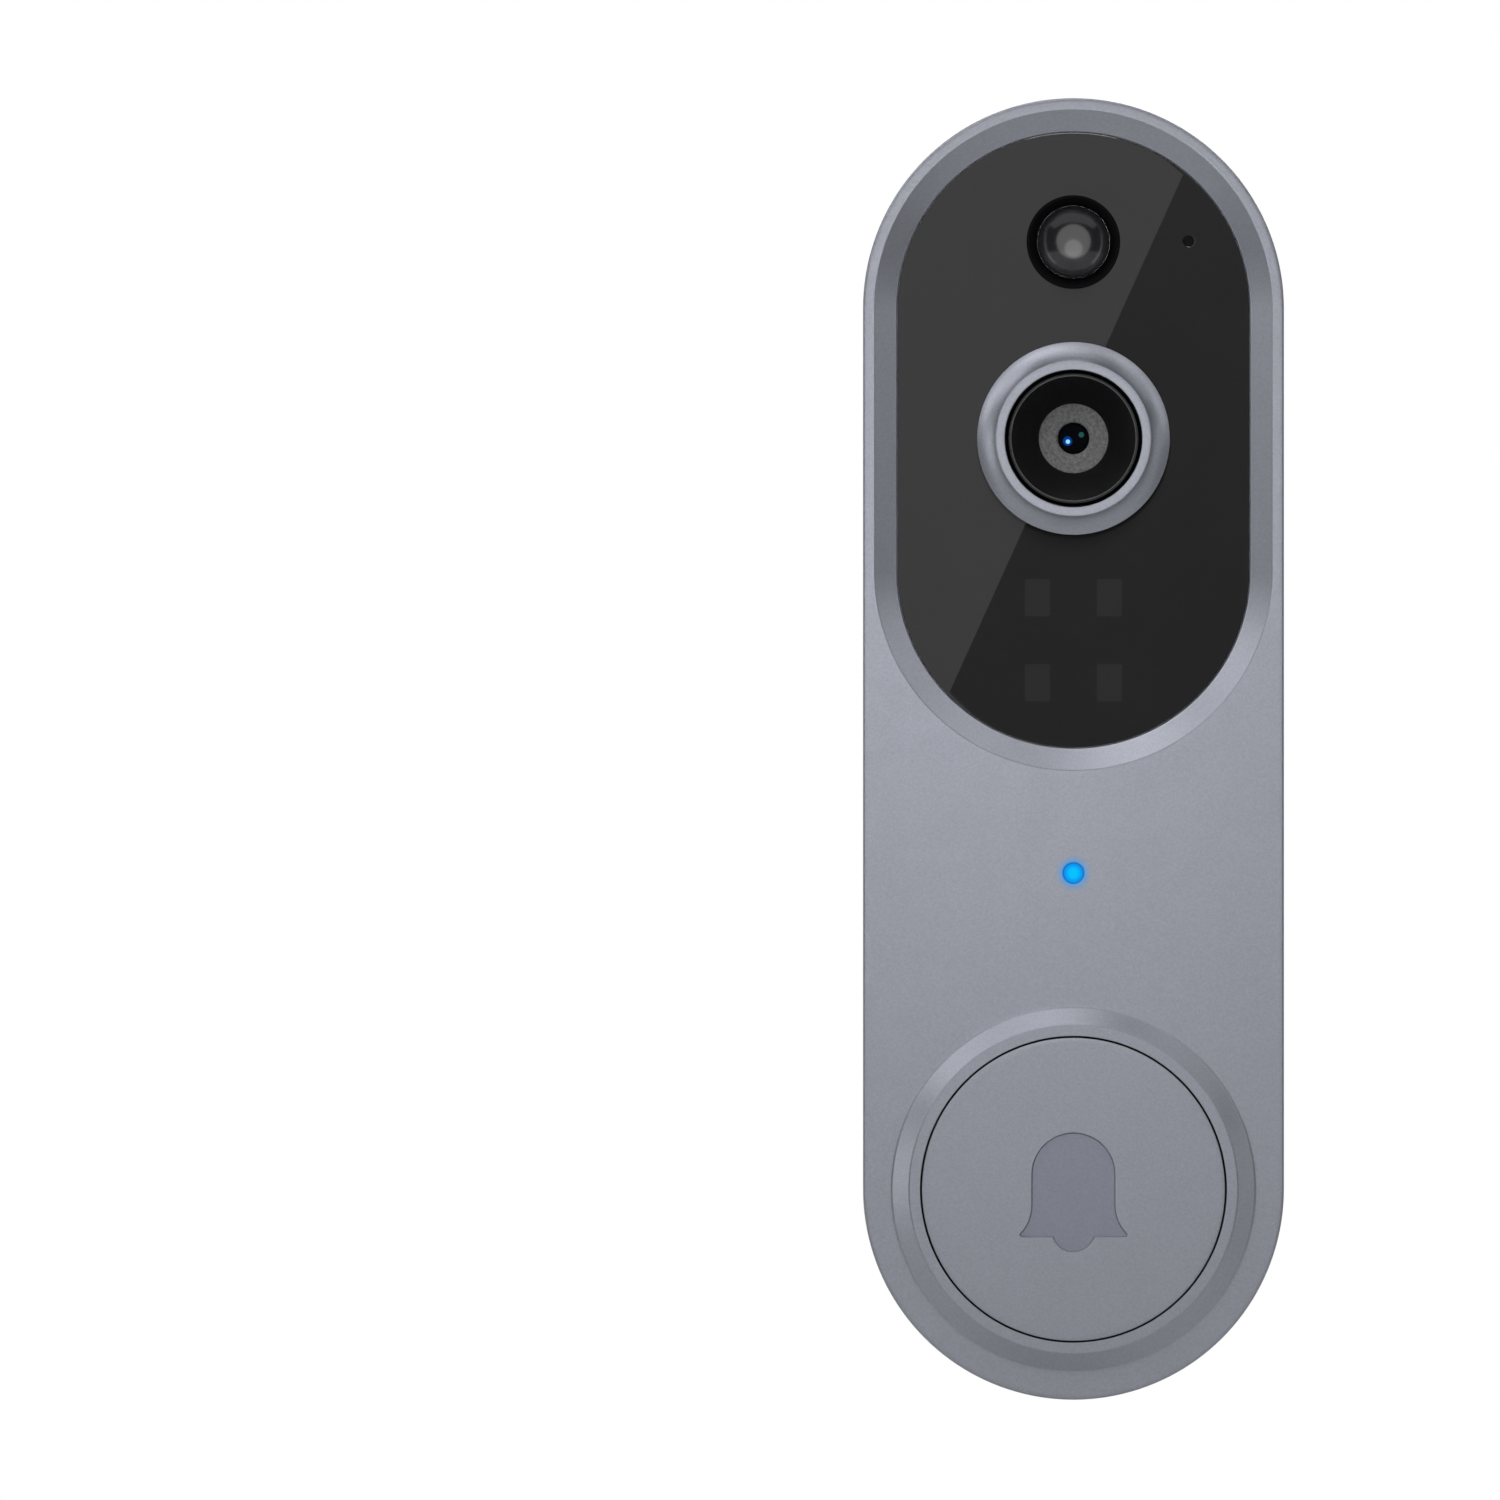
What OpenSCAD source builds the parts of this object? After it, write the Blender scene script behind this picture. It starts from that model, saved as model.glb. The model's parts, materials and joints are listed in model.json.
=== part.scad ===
// Battery video doorbell on a wall bracket.
// +Z is up, the wall is the plane y = 0 and the doorbell faces -Y.
// The origin is the centre of the bracket's back face. Every module below is drawn in plan
// coordinates (x across, y up, z out from the wall), and from_wall() stands the plan up.

/* [Body] */
// Width of the body, a stadium with fully round ends
body_w = 45; // [44.5:0.5:46]
// Height of the body
body_h = 139.2; // [139.2:0.2:142]
// Wall thickness of both shells
wall_t = 2; // [1.8:0.1:2]
// Distance from the wall to the flat front face
face_z = 26; // [26:0.2:28]
// Distance from the wall to the joint between the rear housing and the front shell
split_z = 19; // [19:0.1:19.2]
// How far the rear housing is set in from the front shell
rear_inset = 0.2; // [0.1:0.1:0.3]

/* [Wall bracket] */
// Thickness of the bracket plate
plate_t = 3; // [2.8:0.1:3]
// Gap between the plate and the back of the doorbell
back_gap = 0.4; // [0.3:0.1:0.6]
// Radius of the plate's round ends
plate_r = 19.5; // [18:0.5:20]
// Distance from the middle of the plate to the centre of each round end
plate_reach = 41; // [38:1:43]
// Distance between the two wall screws
wall_screw_gap = 60; // [50:2:60]
// Radius of the wall screw holes
wall_screw_r = 2.1; // [1.8:0.1:2.6]
// Radius of the wall screws' countersinks
countersink_r = 4; // [3.5:0.1:4.2]
// How far the doorbell lifts before it comes off the hooks
lift = 5; // [4.5:0.1:5]
// Width of a hook across, and the height of its stem
hook_size = [5, 3]; // [2:0.1:6]
// How far a hook's lip stands up behind the housing's back wall
hook_lip = 3.2; // [2.5:0.1:3.6]
// Thickness of a hook's lip
hook_t = 1.3; // [1.2:0.1:1.5]

/* [Window] */
// Radius of the window panel's round ends, with the gap round it
pane_r = 18.89; // [18.5:0.01:18.9]
// Height of the lower round end's centre above the middle
pane_low = 18.95; // [18.5:0.05:20]
// Width of the bevel round the window
bevel_w = 2.39; // [2:0.01:2.4]
// Depth of the bevel
bevel_t = 1.15; // [0.8:0.05:1.2]
// Thickness of the panel
pane_t = 1.5; // [1.2:0.1:1.6]
// Gap between the panel and the shell
pane_gap = 0.1; // [0.05:0.01:0.15]
// Thickness of the adhesive gasket under the panel
gasket_t = 0.4; // [0.3:0.05:0.5]
// Width of the ledge that carries the gasket
ledge_w = 2; // [1.6:0.1:2]
// Place of the microphone hole
mic_at = [12.3, 54.3]; // [0:0.1:60]
// Radius of the microphone hole
mic_hole_r = 0.62; // [0.5:0.01:0.8]
// Height of the night light emitters' upper and lower row
emitter_rows = [16.17, 7.07]; // [5:0.01:18]
// Distance of the emitters from the middle line
emitter_x = 3.85; // [3.5:0.05:4.5]
// Width, height and thickness of an emitter
emitter_size = [2.7, 4, 1.4]; // [1:0.1:4]

/* [Camera] */
// Height of the camera's axis
camera_y = 33.2; // [33:0.1:33.4]
// Radius of the lens ring's foot and of its flat top
ring_r = [10.3, 8.3]; // [8:0.1:11]
// Inner radius of the lens ring
ring_bore_r = 7.35; // [7.2:0.05:7.5]
// How far the lens ring stands out from the panel
ring_h = 1.7; // [1.5:0.1:2.4]
// Outer radius of the baffle, and the radius of its mouth and of its throat
baffle_r = [6.95, 6.65, 3.9]; // [3.5:0.05:7]
// Radius of the hole in the aperture plate
aperture_r = 1.68; // [1.5:0.02:2]
// Outer radius and bore radius of the lens barrel
barrel_r = [4.6, 3.05]; // [3:0.05:4.7]
// Side and height of the lens holder
holder_size = [12, 4.8]; // [4:0.1:12.2]
// Side and thickness of the camera board
camera_board_size = [18, 1.2]; // [1:0.1:18]

/* [Motion sensor] */
// Height of the motion sensor's axis
pir_y = 54.2; // [54:0.1:54.4]
// Radius of the sensor's bezel and of its dome
pir_r = [4.92, 3.85]; // [3.6:0.01:4.95]
// Height of the dome above its bezel
dome_h = 2.3; // [1.8:0.1:2.4]
// Wall thickness of the dome
dome_t = 0.7; // [0.5:0.1:0.8]
// Radius and height of the sensor's can
pir_can = [4.6, 4]; // [3.5:0.1:4.7]

/* [Bell button] */
// Height of the button's axis
button_y = -47.1; // [-47.2:0.05:-47]
// Radius of the button
button_r = 16.2; // [15.9:0.05:16.2]
// Gap round the button
button_gap = 0.2; // [0.15:0.01:0.3]
// Radius of the raised ring at the face and at its top
boss_r = [19.43, 17.6]; // [17.4:0.01:19.6]
// Height of the raised ring above the face
boss_h = 1.3; // [1:0.1:1.4]
// Travel of the button
button_travel = 0.7; // [0.4:0.05:0.7]
// Radius and thickness of the flange that keeps the button in
flange = [17.5, 1]; // [0.8:0.05:17.6]
// Depth of the engraved bell
bell_t = 0.35; // [0.2:0.05:0.5]
// Radius of the bell's dome
bell_r = 4.46; // [4:0.02:5]

/* [Status light] */
// Height of the status light
light_y = -13.29; // [-14:0.01:-12]
// Radius of the light pipe's face
light_r = 1.12; // [1:0.01:1.3]

/* [Battery and boards] */
// Width, height and thickness of the battery pack
battery_size = [30, 46, 9.5]; // [9:0.1:46]
// Height of the battery's middle
battery_y = -15; // [-16:0.5:-14]
// Width and height of the main board
board_size = [38.6, 54.5]; // [38:0.1:55]
// Height of the main board's middle
board_y = -3.75; // [-4:0.25:-3.5]
// Thickness of the circuit boards
board_t = 1.2; // [1:0.1:1.2]
// Thickness of the inner frame's plate
frame_t = 1; // [0.8:0.1:1]

/* [Charging port] */
// Height of the port's axis
port_y = 13.5; // [13:0.1:14]
// Width, height and depth of the port's shell
port_size = [8.94, 3.26, 7.35]; // [3:0.01:9]
// Length, width and thickness of the flap
flap_size = [21.6, 6.6, 1.35]; // [1.2:0.05:22]
// Height of the reset button's axis
reset_y = 21.2; // [21:0.1:21.4]
// Radius of the reset button
reset_r = 1.2; // [1:0.05:1.3]
// Travel of the reset button
reset_travel = 0.35; // [0.2:0.05:0.4]

/* [Speaker] */
// Length, width and thickness of the speaker
speaker_size = [19, 9.6, 4.2]; // [4:0.1:19]
// Height of the speaker's middle
speaker_y = -37.6; // [-37.8:0.1:-37.4]
// Number of slots in the speaker's grille
slot_count = 6; // [4:1:7]

/* [Fasteners] */
// Radius of a housing screw's head and shank
housing_screw_r = [1.9, 1]; // [0.9:0.05:2]
// Radius of a board screw's head and shank
board_screw_r = [1.7, 0.9]; // [0.8:0.05:1.8]
// Radius of the lock screw's head and shank
lock_screw_r = [2.2, 1.25]; // [1.2:0.05:2.3]
// Length of the lock screw
lock_screw_l = 7.3; // [7:0.1:7.4]

/* [Hidden] */
$fn = 96;
eps = 0.01;      // overlap that keeps a cut clear of a shared face
cut = 1;         // how far a cutting shape runs past the face it opens
thread_gap = 0.03;
slide_gap = 0.1;

// Levels, measured out from the wall
back_z = plate_t + back_gap;
inside_z = back_z + wall_t;
ceiling_z = face_z - wall_t;
pane_front_z = face_z - bevel_t - 0.05;
pane_back_z = pane_front_z - pane_t;
pir_back_z = pane_back_z - 0.9;
ledge_top_z = pane_back_z - gasket_t;
ledge_z = ledge_top_z - 1.5;
boss_z = face_z + boss_h;
board_z = split_z - 2.6;
board_front_z = board_z + board_t;
frame_z = board_z - frame_t;

ribbon_top_z = board_front_z + 0.5;
ribbon_x = -3.5;
can_at = [-3.5, 3];
emitter_back_z = pane_back_z - 0.3 - emitter_size.z;
emitter_board_t = 0.8;
mic_size = [3.8, 3, 1.1];

// Outline of the body
body_r = body_w / 2;
reach = body_h / 2 - body_r;
rear_r = body_r - rear_inset;
inner_r = rear_r - wall_t;
side_x = rear_r;
bottom_y = -reach - rear_r;

// Window outline
pane_reach = (reach - pane_low) / 2;
pane_mid = (reach + pane_low) / 2;

// Bracket hooks and the pockets that take them
hook_spots = [[-10, 38], [10, 38], [-10, -46], [10, -46]];
pocket_play = 0.4;
pocket_wall = 1.2;
hook_back_z = inside_z + 0.3;
pocket_top_z = hook_back_z + hook_t + pocket_play;

// Lock screw, its lip on the bracket and its notch in the housing
lip_size = [11, 1.8, 10];
lip_play = 0.3;
lip_y = bottom_y + 0.2;
lock_z = 6.6;
notch_top_z = lip_size.z + lip_play;
insert_r = 1.9;
insert_y = lip_y + lip_size.y + lip_play;
insert_l = 5.6;
thread_play = 0.8;

// Seal between the shells: inner and outer radius, its depth in each shell, and its play
seal_r = [inner_r + 0.55, inner_r + 1.35];
seal_t = [0.9, 0.15];
seal_gap = 0.02;

// Screws between the shells, and on the boards
housing_spots = [for (x = [-17.8, 17.8], y = [46.5, 4, -25]) [x, y]];
housing_boss_r = 2.6;
housing_tip_z = split_z + 3;
screw_seat_z = inside_z - 0.4;
main_spots = [[-17.4, 20], [17.6, -4], [-17.6, -18], [17.6, -18]];
sensor_spots = [[-9, 59.5], [9, 59.5]];
camera_spots = [[-7.2, camera_y + 7.2], [7.2, camera_y - 7.2]];
post_r = 2.2;
board_screw_l = 5;
board_head_t = 1.2;

// Camera stack
camera_board_z = 11.5;
camera_front_z = camera_board_z + camera_board_size[1];
holder_top_z = camera_front_z + holder_size[1];
barrel_z = camera_front_z + 1.3;
ring_top_z = pane_front_z + ring_h;
ring_tail_z = pane_back_z - 2.3;
plate_z = [21.9, 22.5];

// Status light
led_size = [2, 1.6, 0.9];

// Button stack
cap_floor_z = boss_z - 2;
flange_z = ceiling_z - slide_gap - flange[1];
carrier_z = [split_z - 0.6, split_z + 0.6];
button_board_z = carrier_z[0] - board_t;
button_board_r = 14;
switch_size = 6;
switch_top_z = carrier_z[0] + 2.4;
stem_r = 1.6;
stem_top_z = switch_top_z + button_travel + 0.1;
guide_r = 17.9;
guide_t = 1.2;

// Charging port, flap and reset button, on the right side
port_x = side_x - flap_size[2] - 0.05 - 0.65;
port_z = board_z - port_size.y / 2;
port_back_t = 0.8;
flap_y = 14;
flap_z = 14.2;
flap_play = 0.15;
flap_floor_x = side_x - flap_size[2] - 0.05;
anchor_r = 2.1;
anchor_pin_r = 0.9;
anchor_head_r = 1.5;
anchor_y = flap_y + flap_size[0] / 2 + 2.9;
bead_r = 0.25;
bead_x = side_x - 0.3;
bead_y = flap_y + flap_size[0] / 2 + bead_r;
bead_w = 3;
reset_floor_x = 19.2;
reset_flange = [0.7, 0.7];
reset_stem_r = 0.7;

// Speaker, on the left side
speaker_z = 10.6;
speaker_rim = 2;
foam_t = 0.5;
pad_size = [24, 8];

// The plan stands up with its z axis pointing out from the wall, to -Y.
module from_wall() {
    rotate([90, 0, 0]) children();
}

module rod(r, z0, z1, at = [0, 0]) {
    translate([at.x, at.y, z0]) cylinder(r = r, h = z1 - z0);
}

module cone(r0, r1, z0, z1, at = [0, 0]) {
    translate([at.x, at.y, z0]) cylinder(r1 = r0, r2 = r1, h = z1 - z0);
}

module tube(r_out, r_in, z0, z1, at = [0, 0]) {
    difference() {
        rod(r_out, z0, z1, at);
        rod(r_in, z0 - cut, z1 + cut, at);
    }
}

// A block centred on a point of the plan, between two levels
module slab(size, z0, z1, at = [0, 0]) {
    translate([at.x - size.x / 2, at.y - size.y / 2, z0]) cube([size.x, size.y, z1 - z0]);
}

// The space between two corners
module span(low, high) {
    translate(low) cube(high - low);
}

module stadium(r, reach, z0, z1, mid = 0) {
    for (side = [-1, 1]) rod(r, z0, z1, [0, mid + side * reach]);
    slab([2 * r, 2 * reach], z0, z1, [0, mid]);
}

module stadium_ring(r_out, r_in, reach, z0, z1, mid = 0) {
    difference() {
        stadium(r_out, reach, z0, z1, mid);
        stadium(r_in, reach, z0 - cut, z1 + cut, mid);
    }
}

// A stadium whose radius grows from r0 to r1
module stadium_cone(r0, r1, reach, z0, z1, mid = 0) {
    for (side = [-1, 1]) cone(r0, r1, z0, z1, [0, mid + side * reach]);
    translate([0, mid + reach, 0]) rotate([90, 0, 0])
        linear_extrude(2 * reach) polygon([[-r0, z0], [r0, z0], [r1, z1], [-r1, z1]]);
}

// A rod or a cone along the plan's x axis, from x0 to x1
module rod_x(r, x0, x1, y, z) {
    translate([x0, y, z]) rotate([0, 90, 0]) cylinder(r = r, h = x1 - x0);
}

// A rod or a cone along the plan's y axis, from y0 to y1
module rod_y(r0, r1, y0, y1, z) {
    translate([0, y0, z]) rotate([-90, 0, 0]) cylinder(r1 = r0, r2 = r1, h = y1 - y0);
}

// A flat bar with round ends in the plan's side view: length along y, width along z
module oblong_x(length, width, x0, x1, y, z) {
    r = width / 2;
    half = length / 2 - r;
    for (side = [-1, 1]) rod_x(r, x0, x1, y + side * half, z);
    span([x0, y - half, z - r], [x1, y + half, z + r]);
}

module cross_recess(r, z0, z1, at) {
    for (size = [[1.7 * r, 0.4 * r], [0.4 * r, 1.7 * r]]) slab(size, z0, z1, at);
}

// ---- Wall bracket ----

module hook(at) {
    stem_y = at.y - hook_size.y / 2;
    left = at.x - hook_size.x / 2;
    right = at.x + hook_size.x / 2;
    span([left, stem_y, plate_t - eps], [right, stem_y + hook_size.y, hook_back_z + hook_t]);
    span([left, stem_y, hook_back_z], [right, stem_y + hook_size.y + hook_lip, hook_back_z + hook_t]);
}

module lip() {
    tongue_l = 16;
    intersection() {
        union() {
            span([-lip_size.x / 2, lip_y, 0], [lip_size.x / 2, lip_y + lip_size.y, lip_size.z]);
            span([-lip_size.x / 2, lip_y, 0], [lip_size.x / 2, lip_y + tongue_l, plate_t]);
        }
        rod(rear_r, -cut, lip_size.z + cut, [0, -reach]);
    }
}

module wall_bracket() color("#26282c") from_wall() difference() {
    relief = [5, 12];
    relief_at = [12, 14];
    sink_z = plate_t - (countersink_r - wall_screw_r);
    bore_r = lock_screw_r[1] + 0.15;
    head_r = lock_screw_r[0] + slide_gap;
    head_t = 1.05;
    union() {
        stadium(plate_r, plate_reach, 0, plate_t);
        lip();
        for (spot = hook_spots) hook(spot);
    }
    for (side = [-1, 1]) {
        at = [0, side * wall_screw_gap / 2];
        rod(wall_screw_r, -cut, plate_t + cut, at);
        cone(wall_screw_r, countersink_r + cut, sink_z, plate_t + cut, at);
        for (x = [-relief_at.x, relief_at.x])
            slab(relief, -cut, plate_t + cut, [x, side * relief_at.y]);
    }
    rod_y(bore_r, bore_r, bottom_y - cut, lip_y + lip_size.y + cut, lock_z);
    rod_y(head_r, bore_r, lip_y, lip_y + head_t, lock_z);
    rod_y(head_r, head_r, bottom_y - cut, lip_y + eps, lock_z);
}

module lock_screw() color("#b9bcc2") from_wall() difference() {
    head_t = 1;
    recess_t = 0.7;
    recess = [2.6, 0.6];
    union() {
        rod_y(lock_screw_r[0], lock_screw_r[1], lip_y, lip_y + head_t, lock_z);
        rod_y(lock_screw_r[1], lock_screw_r[1], lip_y + head_t - eps, lip_y + lock_screw_l, lock_z);
    }
    for (size = [recess, [recess.y, recess.x]])
        span([-size.x / 2, lip_y - cut, lock_z - size.y / 2],
             [size.x / 2, lip_y + recess_t, lock_z + size.y / 2]);
}

// ---- Rear housing ----

// Space that a hook needs over the whole lift, from the back face to z1
module hook_space(at, top, z1) {
    half_w = hook_size.x / 2 + pocket_play;
    low = at.y - hook_size.y / 2 - lift - pocket_play;
    span([at.x - half_w, low, back_z - cut], [at.x + half_w, top, z1]);
}

module hook_pocket(at) {
    half_w = hook_size.x / 2 + pocket_play + pocket_wall;
    low = at.y - hook_size.y / 2 - lift - pocket_play - pocket_wall;
    high = at.y + hook_size.y / 2 + hook_lip + pocket_play + pocket_wall;
    span([at.x - half_w, low, inside_z - eps], [at.x + half_w, high, pocket_top_z + pocket_wall]);
}

module hook_opening(at) {
    stem_top = at.y + hook_size.y / 2;
    hook_space(at, stem_top + 0.05, pocket_top_z);
    intersection() {
        hook_space(at, stem_top + hook_lip + pocket_play, pocket_top_z);
        slab([3 * plate_r, 3 * body_h], inside_z, pocket_top_z);
    }
}

// Thick corner round the lock screw's notch, inside the body's outline
module lock_block() {
    wall = 1.5;
    half_w = lip_size.x / 2 + lip_play + wall;
    half_insert = insert_r + wall;
    intersection() {
        union() {
            span([-half_w, bottom_y, back_z], [half_w, insert_y + wall, notch_top_z + wall]);
            span([-half_insert, insert_y, back_z],
                 [half_insert, insert_y + insert_l + wall + thread_play, lock_z + half_insert]);
        }
        rod(rear_r, back_z - cut, split_z, [0, -reach]);
    }
}

module lock_notch() {
    half_w = lip_size.x / 2 + lip_play;
    pilot_r = lock_screw_r[1] + 0.2;
    span([-half_w, bottom_y - cut, back_z - cut], [half_w, insert_y, notch_top_z]);
    rod_y(insert_r, insert_r, insert_y - eps, insert_y + insert_l, lock_z);
    rod_y(pilot_r, pilot_r, insert_y, insert_y + insert_l + thread_play, lock_z);
}

module side_openings() {
    oblong_x(flap_size[0] + 2 * flap_play, flap_size[1] + 2 * flap_play,
             flap_floor_x, side_x + cut, flap_y, flap_z);
    oblong_x(port_size.x + 2 * slide_gap, port_size.y + 2 * slide_gap, inner_r - cut, side_x + cut,
             port_y, port_z);
    rod_x(reset_r + slide_gap, inner_r - cut, side_x + cut, reset_y, flap_z);
    rod_x(anchor_r + flap_play, flap_floor_x, side_x + cut, anchor_y, flap_z);
    span([flap_floor_x, flap_y, flap_z - bead_w / 2 - flap_play],
         [side_x + cut, anchor_y, flap_z + bead_w / 2 + flap_play]);
    rod_x(anchor_pin_r + slide_gap, inner_r - cut, side_x, anchor_y, flap_z);
    slot_l = 6;
    slot_w = 1.2;
    pitch = 2.4;
    for (i = [0:slot_count - 1]) {
        y = speaker_y + (i - (slot_count - 1) / 2) * pitch;
        span([-side_x - cut, y - slot_w / 2, speaker_z - slot_l / 2],
             [-inner_r + cut, y + slot_w / 2, speaker_z + slot_l / 2]);
    }
}

module rear_housing() color("#2e3036") from_wall() difference() {
    union() {
        difference() {
            stadium(rear_r, reach, back_z, split_z);
            stadium(inner_r, reach, inside_z, split_z + cut);
        }
        for (spot = hook_spots) hook_pocket(spot);
        for (spot = housing_spots) rod(housing_boss_r, back_z + eps, split_z, spot);
        for (spot = main_spots) rod(post_r, inside_z - eps, frame_z, spot);
        for (spot = sensor_spots) rod(post_r, inside_z - eps, board_z, spot);
        for (spot = camera_spots) rod(post_r, inside_z - eps, camera_board_z, spot);
        lock_block();
    }
    for (spot = hook_spots) hook_opening(spot);
    for (spot = housing_spots) {
        rod(housing_screw_r[0] + slide_gap, back_z - cut, screw_seat_z, spot);
        rod(housing_screw_r[1] + slide_gap, back_z, split_z + cut, spot);
    }
    for (spot = main_spots) pilot(spot, frame_z);
    for (spot = sensor_spots) pilot(spot, board_z);
    for (spot = camera_spots) pilot(spot, camera_board_z);
    lock_notch();
    side_openings();
    stadium_ring(seal_r[1], seal_r[0], reach, split_z - seal_t[0], split_z + cut);
}

module pilot(at, top) {
    rod(board_screw_r[1] + thread_gap, top - board_screw_l + 1, top + cut, at);
}

module housing_seal() color("#4a4d52") from_wall()
    stadium_ring(seal_r[1] - seal_gap, seal_r[0] + seal_gap, reach, split_z - seal_t[0],
                 split_z + seal_t[1]);

module housing_screws() color("#8f9299") from_wall() for (spot = housing_spots) difference() {
    head_z = back_z + 0.3;
    union() {
        rod(housing_screw_r[0], head_z, screw_seat_z, spot);
        rod(housing_screw_r[1], screw_seat_z - eps, housing_tip_z, spot);
    }
    cross_recess(housing_screw_r[0] * 0.75, head_z - cut, head_z + 0.8, spot);
}

module lock_insert() color("#c9a24a") from_wall() difference() {
    rod_y(insert_r, insert_r, insert_y, insert_y + insert_l, lock_z);
    rod_y(lock_screw_r[1] + thread_gap, lock_screw_r[1] + thread_gap,
          insert_y - cut, insert_y + insert_l + cut, lock_z);
}

// ---- Front shell ----

module window_cut() {
    stadium_cone(pane_r, pane_r + bevel_w, pane_reach, face_z - bevel_t, face_z, pane_mid);
    stadium(pane_r + bevel_w, pane_reach, face_z, face_z + cut, pane_mid);
    stadium(pane_r, pane_reach, ledge_top_z, face_z - bevel_t + eps, pane_mid);
    stadium(pane_r - ledge_w, pane_reach, ledge_z - cut, ledge_top_z + eps, pane_mid);
}

module front_shell() color("#9a9da6") from_wall() difference() {
    frame_w = 1.6;
    union() {
        difference() {
            stadium(body_r, reach, split_z, face_z);
            stadium(inner_r, reach, split_z - cut, ceiling_z);
        }
        stadium(pane_r + frame_w, pane_reach, ledge_z, ceiling_z + eps, pane_mid);
        cone(boss_r[0], boss_r[1], face_z - eps, boss_z, [0, button_y]);
        tube(guide_r + guide_t, guide_r, carrier_z[1], ceiling_z + eps, [0, button_y]);
        for (spot = housing_spots) rod(housing_boss_r, split_z, ceiling_z + eps, spot);
    }
    window_cut();
    rod(button_r + button_gap, ceiling_z - cut, boss_z + cut, [0, button_y]);
    rod(guide_r, split_z - cut, ceiling_z, [0, button_y]);
    rod(light_r + 0.03, ceiling_z - cut, face_z + cut, [0, light_y]);
    for (spot = housing_spots)
        rod(housing_screw_r[1] + thread_gap, split_z - cut, housing_tip_z + 0.3, spot);
    stadium_ring(seal_r[1], seal_r[0], reach, split_z - cut, split_z + seal_t[1]);
}

// ---- Window ----

module window_panel() color("#1c1c1e") from_wall() difference() {
    stadium(pane_r - pane_gap, pane_reach, pane_back_z, pane_front_z, pane_mid);
    rod(ring_bore_r + 0.65, pane_back_z - cut, pane_front_z + cut, [0, camera_y]);
    rod(pir_r[0] + 0.05, pane_back_z - cut, pane_front_z + cut, [0, pir_y]);
    rod(mic_hole_r, pane_back_z - cut, pane_front_z + cut, mic_at);
}

module window_gasket() color("#3a3a3d") from_wall()
    stadium_ring(pane_r - 0.2, pane_r - ledge_w + 0.2, pane_reach, ledge_top_z, pane_back_z, pane_mid);

// ---- Camera ----

// Hollow slope of the lens ring, from its foot up to its flat top
function cove(steps = 8, from = 18, to = 54) = [
    for (i = [0:steps])
        let (turn = from + (to - from) * i / steps,
             run = (sin(turn) - sin(from)) / (sin(to) - sin(from)),
             rise = (cos(from) - cos(turn)) / (cos(from) - cos(to)))
            [ring_r[0] - (ring_r[0] - ring_r[1]) * run, pane_front_z + 0.3 + (ring_h - 0.3) * rise]
];

module lens_ring() color("#a3a6ae") from_wall() translate([0, camera_y, 0])
    rotate_extrude() polygon(concat(
        [[ring_bore_r, ring_tail_z], [ring_bore_r + 0.6, ring_tail_z],
         [ring_bore_r + 0.6, pane_front_z], [ring_r[0], pane_front_z]],
        cove(),
        [[ring_bore_r, ring_top_z]]
    ));

module lens_baffle() color("#0b0b0c") from_wall() translate([0, camera_y, 0]) {
    rim_z = ring_top_z - 0.45;
    chamfer = 0.15;
    flange_r = ring_bore_r - slide_gap;
    flange_z = plate_z[1] + 0.7;
    rotate_extrude() polygon([
        [baffle_r[2], plate_z[1]], [flange_r, plate_z[1]], [flange_r, flange_z],
        [baffle_r[0], flange_z], [baffle_r[0], rim_z - chamfer],
        [baffle_r[0] - chamfer, rim_z], [baffle_r[1], rim_z], [baffle_r[2], plate_z[1] + 0.2]
    ]);
}

module aperture_plate() color("#4c4c4e") from_wall() difference() {
    rod(barrel_r[0] + 0.4, plate_z[0], plate_z[1], [0, camera_y]);
    cone(aperture_r + 0.35, aperture_r, plate_z[0] - eps, plate_z[1] + eps, [0, camera_y]);
}

// A round lens element: flat back, domed front
module element(r, z0, z1, bulge) {
    ball_r = (r * r + bulge * bulge) / (2 * bulge);
    rod(r, z0, z1 - bulge, [0, camera_y]);
    intersection() {
        translate([0, camera_y, z1 - ball_r]) sphere(ball_r);
        rod(r, z1 - bulge - eps, z1 + cut, [0, camera_y]);
    }
}

module front_lens() color("#16264a") from_wall() element(barrel_r[1] - 0.05, 19.6, 21.7, 1.2);

module inner_lenses() color("#7f93a8") from_wall() {
    element(barrel_r[1] - 0.05, 17.4, 18.6, 0.5);
    element(barrel_r[1] - 0.05, 15, 16.2, 0.5);
}

module lens_barrel() color("#111113") from_wall()
    tube(barrel_r[0], barrel_r[1], barrel_z, plate_z[0], [0, camera_y]);

module lens_holder() color("#18181a") from_wall() difference() {
    at = [0, camera_y];
    slab([holder_size[0], holder_size[0]], camera_front_z, holder_top_z, at);
    rod(barrel_r[0] + 0.05, barrel_z, holder_top_z + cut, at);
    rod(barrel_r[1], camera_front_z, barrel_z + eps, at);
    slab([9, 9], camera_front_z - cut, barrel_z - 0.3, at);
}

module infrared_filter() color("#6f8fa0") from_wall()
    slab([7.4, 7.4], barrel_z - 0.6, barrel_z - 0.3, [0, camera_y]);

module image_sensor() color("#30323a") from_wall()
    slab([6.4, 5.6], camera_front_z, camera_front_z + 0.5, [0, camera_y]);

module camera_board() color("#1f5a3a") from_wall() difference() {
    side = camera_board_size[0];
    slab([side, side], camera_board_z, camera_front_z, [0, camera_y]);
    for (spot = camera_spots)
        rod(board_screw_r[1] + 0.2, camera_board_z - cut, camera_front_z + cut, spot);
}

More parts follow.
